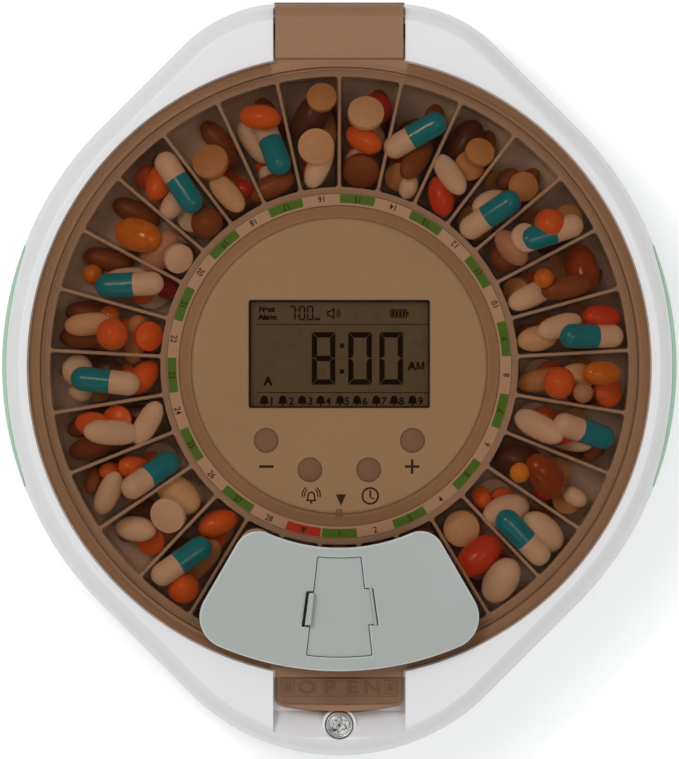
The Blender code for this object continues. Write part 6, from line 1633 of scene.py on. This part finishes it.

# Each row is a form, a coat, the place in the photograph in whole pixels and the turn in degrees,
# read in enlarged parts of it, the uppermost pill first. Compartments 28 and 1 to 3 lie under the grey plate, so their
# pills are made up
HEAPS = {
    1: ((Form.DISC, Coat.WHITE, 339, 560, 0), (Form.OVAL, Coat.ORANGE, 341, 585, 80),
        (Form.CAPLET, Coat.BROWN, 338, 610, 60)),
    2: ((Form.CAPSULE, Coat.TEAL, 395, 580, -75), (Form.ROUND, Coat.WHITE, 385, 555, 0),
        (Form.OVAL, Coat.ORANGE, 400, 610, 0)),
    3: ((Form.OVAL, Coat.WHITE, 432, 560, -60), (Form.DISC, Coat.ORANGE, 440, 580, 0),
        (Form.CAPLET, Coat.TAN, 420, 540, 20), (Form.BALL, Coat.BROWN, 447, 600, 0)),
    4: ((Form.SOFTGEL, Coat.WHITE, 495, 587, 58), (Form.SOFTGEL, Coat.REDORANGE, 482, 554, 40),
        (Form.ROUND, Coat.CREAM, 458, 532, 0), (Form.ROUND, Coat.TAN, 473, 570, 0),
        (Form.SMALL, Coat.REDORANGE, 503, 564, 0)),
    5: ((Form.CAPSULE, Coat.TEAL, 520, 541, 134), (Form.SOFTGEL, Coat.WHITE, 545, 534, -42),
        (Form.SOFTGEL, Coat.WHITE, 509, 509, 20), (Form.SMALL, Coat.ORANGE, 478, 503, -60),
        (Form.SMALL, Coat.RED, 546, 517, -30)),
    6: ((Form.BEAD, Coat.YELLOW, 518, 476, 0), (Form.SOFTGEL, Coat.DARKAMBER, 545, 475, -50),
        (Form.SMALL, Coat.REDORANGE, 541, 495, -40), (Form.SMALL, Coat.WHITE, 575, 497, -30),
        (Form.DISC, Coat.TAN, 563, 508, 0), (Form.SOFTGEL, Coat.DARKBROWN, 515, 453, -10)),
    7: ((Form.CAPSULE, Coat.TEAL, 584, 431, -18), (Form.OBLONG, Coat.WHITE, 532, 432, -28),
        (Form.OVAL, Coat.REDORANGE, 557, 433, 0), (Form.CAPLET, Coat.WHITE, 569, 447, -10),
        (Form.SMALL, Coat.BROWN, 592, 454, 70)),
    8: ((Form.BALL, Coat.ORANGE, 559, 389, 0), (Form.BEAD, Coat.PINK, 583, 396, 0),
        (Form.OVAL, Coat.AMBER, 602, 373, 0), (Form.DISC, Coat.ORANGE, 608, 395, 0),
        (Form.OVAL, Coat.CREAM, 578, 376, 0), (Form.CAPLET, Coat.TAN, 537, 389, 10)),
    9: ((Form.CAPSULE, Coat.TEAL, 593, 345, 180), (Form.OVAL, Coat.REDORANGE, 602, 317, -3),
        (Form.CAPLET, Coat.WHITE, 560, 326, 17), (Form.OVAL, Coat.CREAM, 535, 346, 10),
        (Form.SMALL, Coat.BROWN, 526, 333, 0)),
    10: ((Form.BEAD, Coat.AMBER, 544, 278, 0), (Form.CAPLET, Coat.BROWN, 570, 296, 12),
        (Form.SOFTGEL, Coat.DARKAMBER, 586, 277, -75), (Form.CAPLET, Coat.WHITE, 533, 301, 25),
        (Form.DISC, Coat.TAN, 515, 293, 0)),
    11: ((Form.CAPSULE, Coat.TEAL, 557, 243, 198), (Form.BALL, Coat.ORANGE, 550, 224, 110),
        (Form.DISC, Coat.TAN, 568, 219, 0), (Form.DISC, Coat.WHITE, 525, 238, 0),
        (Form.OVAL, Coat.PINK, 514, 251, -50), (Form.BALL, Coat.BROWN, 509, 260, 0)),
    12: ((Form.CAPSULE, Coat.TEAL, 498, 222, 34), (Form.OVAL, Coat.WHITE, 491, 203, 20),
        (Form.DISC, Coat.TAN, 530, 192, 0), (Form.ROUND, Coat.TAN, 476, 222, 0),
        (Form.SMALL, Coat.BROWN, 508, 178, 40)),
    13: ((Form.CAPLET, Coat.WHITE, 453, 176, -56), (Form.DISC, Coat.TAN, 486, 156, 0),
        (Form.DISC, Coat.TAN, 475, 169, 0), (Form.OVAL, Coat.REDORANGE, 442, 197, 100),
        (Form.CAPLET, Coat.BROWN, 455, 208, 60), (Form.SOFTGEL, Coat.DARKBROWN, 465, 143, 60)),
    14: ((Form.CAPSULE, Coat.TEAL, 424, 138, 30), (Form.CAPLET, Coat.BROWN, 429, 163, 55),
        (Form.SMALL, Coat.WHITE, 412, 188, 70), (Form.DISC, Coat.TAN, 400, 176, 0),
        (Form.OVAL, Coat.DARKBROWN, 413, 131, 20)),
    15: ((Form.ROUND, Coat.CREAM, 366, 113, 0), (Form.BALL, Coat.RED, 388, 109, 80),
        (Form.OVAL, Coat.ORANGE, 364, 139, -30), (Form.CAPLET, Coat.WHITE, 382, 127, -50),
        (Form.ROUND, Coat.BROWN, 368, 174, 0), (Form.SMALL, Coat.WHITE, 358, 156, 30)),
    16: ((Form.ROUND, Coat.CREAM, 316, 146, 0), (Form.CAPLET, Coat.WHITE, 331, 172, 67),
        (Form.DISC, Coat.TAN, 326, 97, 0), (Form.SOFTGEL, Coat.DARKBROWN, 305, 117, 60),
        (Form.SMALL, Coat.ORANGE, 314, 170, 20), (Form.CAPLET, Coat.TAN, 334, 134, 90)),
    17: ((Form.OVAL, Coat.ORANGE, 266, 115, -5), (Form.CAPSULE, Coat.TEAL, 273, 144, -69),
        (Form.CAPLET, Coat.WHITE, 254, 142, -54), (Form.CAPLET, Coat.BROWN, 283, 187, 25),
        (Form.SMALL, Coat.WHITE, 268, 178, -70)),
    18: ((Form.ROUND, Coat.TAN, 210, 162, 0), (Form.CAPLET, Coat.CREAM, 227, 193, -49),
        (Form.BEAD, Coat.RED, 247, 186, 0), (Form.CAPLET, Coat.BROWN, 246, 205, 34),
        (Form.SMALL, Coat.BROWN, 232, 155, -35)),
    19: ((Form.CAPSULE, Coat.TEAL, 183, 178, -57), (Form.OVAL, Coat.ORANGE, 158, 182, 70),
        (Form.CAPLET, Coat.WHITE, 176, 200, 52), (Form.BALL, Coat.BROWN, 211, 220, 0),
        (Form.DISC, Coat.WHITE, 192, 217, 0), (Form.SMALL, Coat.ORANGE, 144, 176, 60)),
    20: ((Form.SOFTGEL, Coat.AMBER, 137, 236, -16), (Form.DISC, Coat.WHITE, 181, 260, 0),
        (Form.SOFTGEL, Coat.PINK, 166, 241, 50), (Form.SMALL, Coat.BROWN, 189, 243, 0)),
    21: ((Form.CAPSULE, Coat.TEAL, 130, 282, 183), (Form.BEAD, Coat.RED, 169, 285, 0),
        (Form.BEAD, Coat.AMBER, 92, 274, 0), (Form.CAPLET, Coat.WHITE, 131, 270, 5)),
    22: ((Form.BALL, Coat.ORANGE, 112, 334, 40), (Form.DISC, Coat.ORANGE, 154, 337, 0),
        (Form.CAPLET, Coat.TAN, 136, 333, 80), (Form.CAPLET, Coat.CREAM, 88, 324, 5),
        (Form.BEAD, Coat.AMBER, 109, 314, 0), (Form.CAPLET, Coat.BROWN, 82, 338, 0)),
    23: ((Form.CAPSULE, Coat.TEAL, 105, 381, 174), (Form.OVAL, Coat.ORANGE, 148, 377, 50),
        (Form.BALL, Coat.WHITE, 77, 370, 0), (Form.SMALL, Coat.WHITE, 79, 392, -10),
        (Form.DISC, Coat.DARKBROWN, 106, 361, 0)),
    24: ((Form.OBLONG, Coat.WHITE, 112, 436, -3), (Form.CAPLET, Coat.WHITE, 154, 418, 60),
        (Form.OVAL, Coat.ORANGE, 92, 418, -10), (Form.DISC, Coat.ORANGE, 117, 420, 0),
        (Form.CAPLET, Coat.DARKBROWN, 135, 411, 0), (Form.CAPLET, Coat.BROWN, 92, 449, 15)),
    25: ((Form.CAPSULE, Coat.TEAL, 150, 475, 35), (Form.CAPLET, Coat.WHITE, 108, 493, 65),
        (Form.OVAL, Coat.ORANGE, 132, 461, -20), (Form.SMALL, Coat.ORANGE, 108, 466, 0),
        (Form.SMALL, Coat.BROWN, 93, 481, 70)),
    26: ((Form.ROUND, Coat.WHITE, 168, 515, 0), (Form.OVAL, Coat.WHITE, 132, 525, -5),
        (Form.DISC, Coat.ORANGE, 151, 541, 0), (Form.SOFTGEL, Coat.CREAM, 177, 493, -40)),
    27: ((Form.CAPSULE, Coat.TEAL, 177, 558, 35), (Form.OVAL, Coat.ORANGE, 214, 516, 20),
        (Form.BALL, Coat.ORANGE, 183, 588, 0), (Form.OBLONG, Coat.TAN, 199, 563, 47)),
    28: ((Form.ROUND, Coat.WHITE, 286, 560, 0), (Form.CAPSULE, Coat.TEAL, 276, 590, 75),
        (Form.OVAL, Coat.ORANGE, 270, 560, 0)),
}


# Studio

@dataclass
class Studio:
    """The pale floor, the soft lamps and the straight-down long lens of the photograph."""

    distance: float = 6.0
    world_strength: float = 0.44
    floor_shade: str = "F4F5F6"

    def floor(self) -> None:
        """Make the floor: white to the camera, with the object's soft shadow kept."""
        body = bmesh.new()
        bmesh.ops.create_grid(body, x_segments=1, y_segments=1, size=3.0)
        mesh = bpy.data.meshes.new("studio_floor")
        body.to_mesh(mesh)
        body.free()
        thing = bpy.data.objects.new("studio_floor", mesh)
        bpy.context.scene.collection.objects.link(thing)
        made = bpy.data.materials.new("studio_paper")
        made.use_nodes = True
        tree = made.node_tree
        tree.nodes.clear()
        rays = add_node(tree, "ShaderNodeLightPath").outputs
        seen = add_node(tree, "ShaderNodeMath", {"operation": "MAXIMUM"}, {0: rays["Is Camera Ray"], 1: rays["Is Glossy Ray"]})
        seen = add_node(tree, "ShaderNodeMath", {"operation": "MAXIMUM"}, {0: seen.outputs[0], 1: rays["Is Transmission Ray"]})
        lift = add_node(tree, "ShaderNodeMath", {"operation": "MULTIPLY", 1: 0.30}, {0: seen.outputs[0]})
        paper = add_node(tree, "ShaderNodeBsdfDiffuse", {"Color": linear(self.floor_shade)})
        glow = add_node(tree, "ShaderNodeEmission", {"Color": (1, 1, 1, 1)}, {"Strength": lift.outputs[0]})
        both = add_node(tree, "ShaderNodeAddShader", None, {0: paper.outputs[0], 1: glow.outputs[0]})
        add_node(tree, "ShaderNodeOutputMaterial", None, {"Surface": both.outputs[0]})
        mesh.materials.append(made)

    def lamp(self, name: str, place: Sequence[float], size: float, power: float) -> None:
        """Hang one soft area lamp that looks at the object."""
        data = bpy.data.lights.new(name, "AREA")
        data.shape, data.size, data.energy = "DISK", size, power
        lamp = bpy.data.objects.new(name, data)
        bpy.context.scene.collection.objects.link(lamp)
        lamp.location = place
        lamp.rotation_euler = (Vector((0, 0, 0.03)) - Vector(place)).to_track_quat("-Z", "Y").to_euler()

    def build(self) -> None:
        """Build the whole studio."""
        self.floor()
        world = bpy.data.worlds.new("studio_world")
        world.use_nodes = True
        world.node_tree.nodes["Background"].inputs["Color"].default_value = (1, 1, 1, 1)
        world.node_tree.nodes["Background"].inputs["Strength"].default_value = self.world_strength
        bpy.context.scene.world = world
        self.lamp("key_soft_box", (-0.6, 0.5, 1.8), 0.8, 10.3)
        self.lamp("fill_soft_box", (0.7, -0.3, 1.8), 0.9, 5.7)
        self.lamp("front_soft_box", (-0.3, -1.7, 1.2), 0.9, 2.4)
        self.lamp("small_highlight_lamp", (-0.45, 0.4, 1.3), 0.1, 1.3)
        data = bpy.data.cameras.new("photo_camera")
        data.type, data.sensor_width, data.clip_end = "PERSP", 36.0, 50.0
        data.sensor_fit = "HORIZONTAL"
        data.lens = 36.0 * (self.distance - 0.056) / (679 * 0.31 * MM)
        camera = bpy.data.objects.new("photo_camera", data)
        bpy.context.scene.collection.objects.link(camera)
        camera.location = (0.00006, 0.0, self.distance)
        bpy.context.scene.camera = camera
        bpy.context.scene.view_settings.view_transform = "Standard"


def main() -> None:
    """Build every sub-assembly in order."""
    logging.basicConfig(level=logging.INFO, format="%(message)s")
    repeat = Repeat()
    shell = CaseShell()
    shell.build()
    BaseTub(shell, repeat).build()
    Hub().build()
    Display().build()
    PillTray(repeat).build()
    Pills(repeat).build()
    Lid().build()
    DispenserPlate().build()
    Lock().build()
    PowerPack().build()
    Studio().build()


if __name__ == "__main__":
    main()
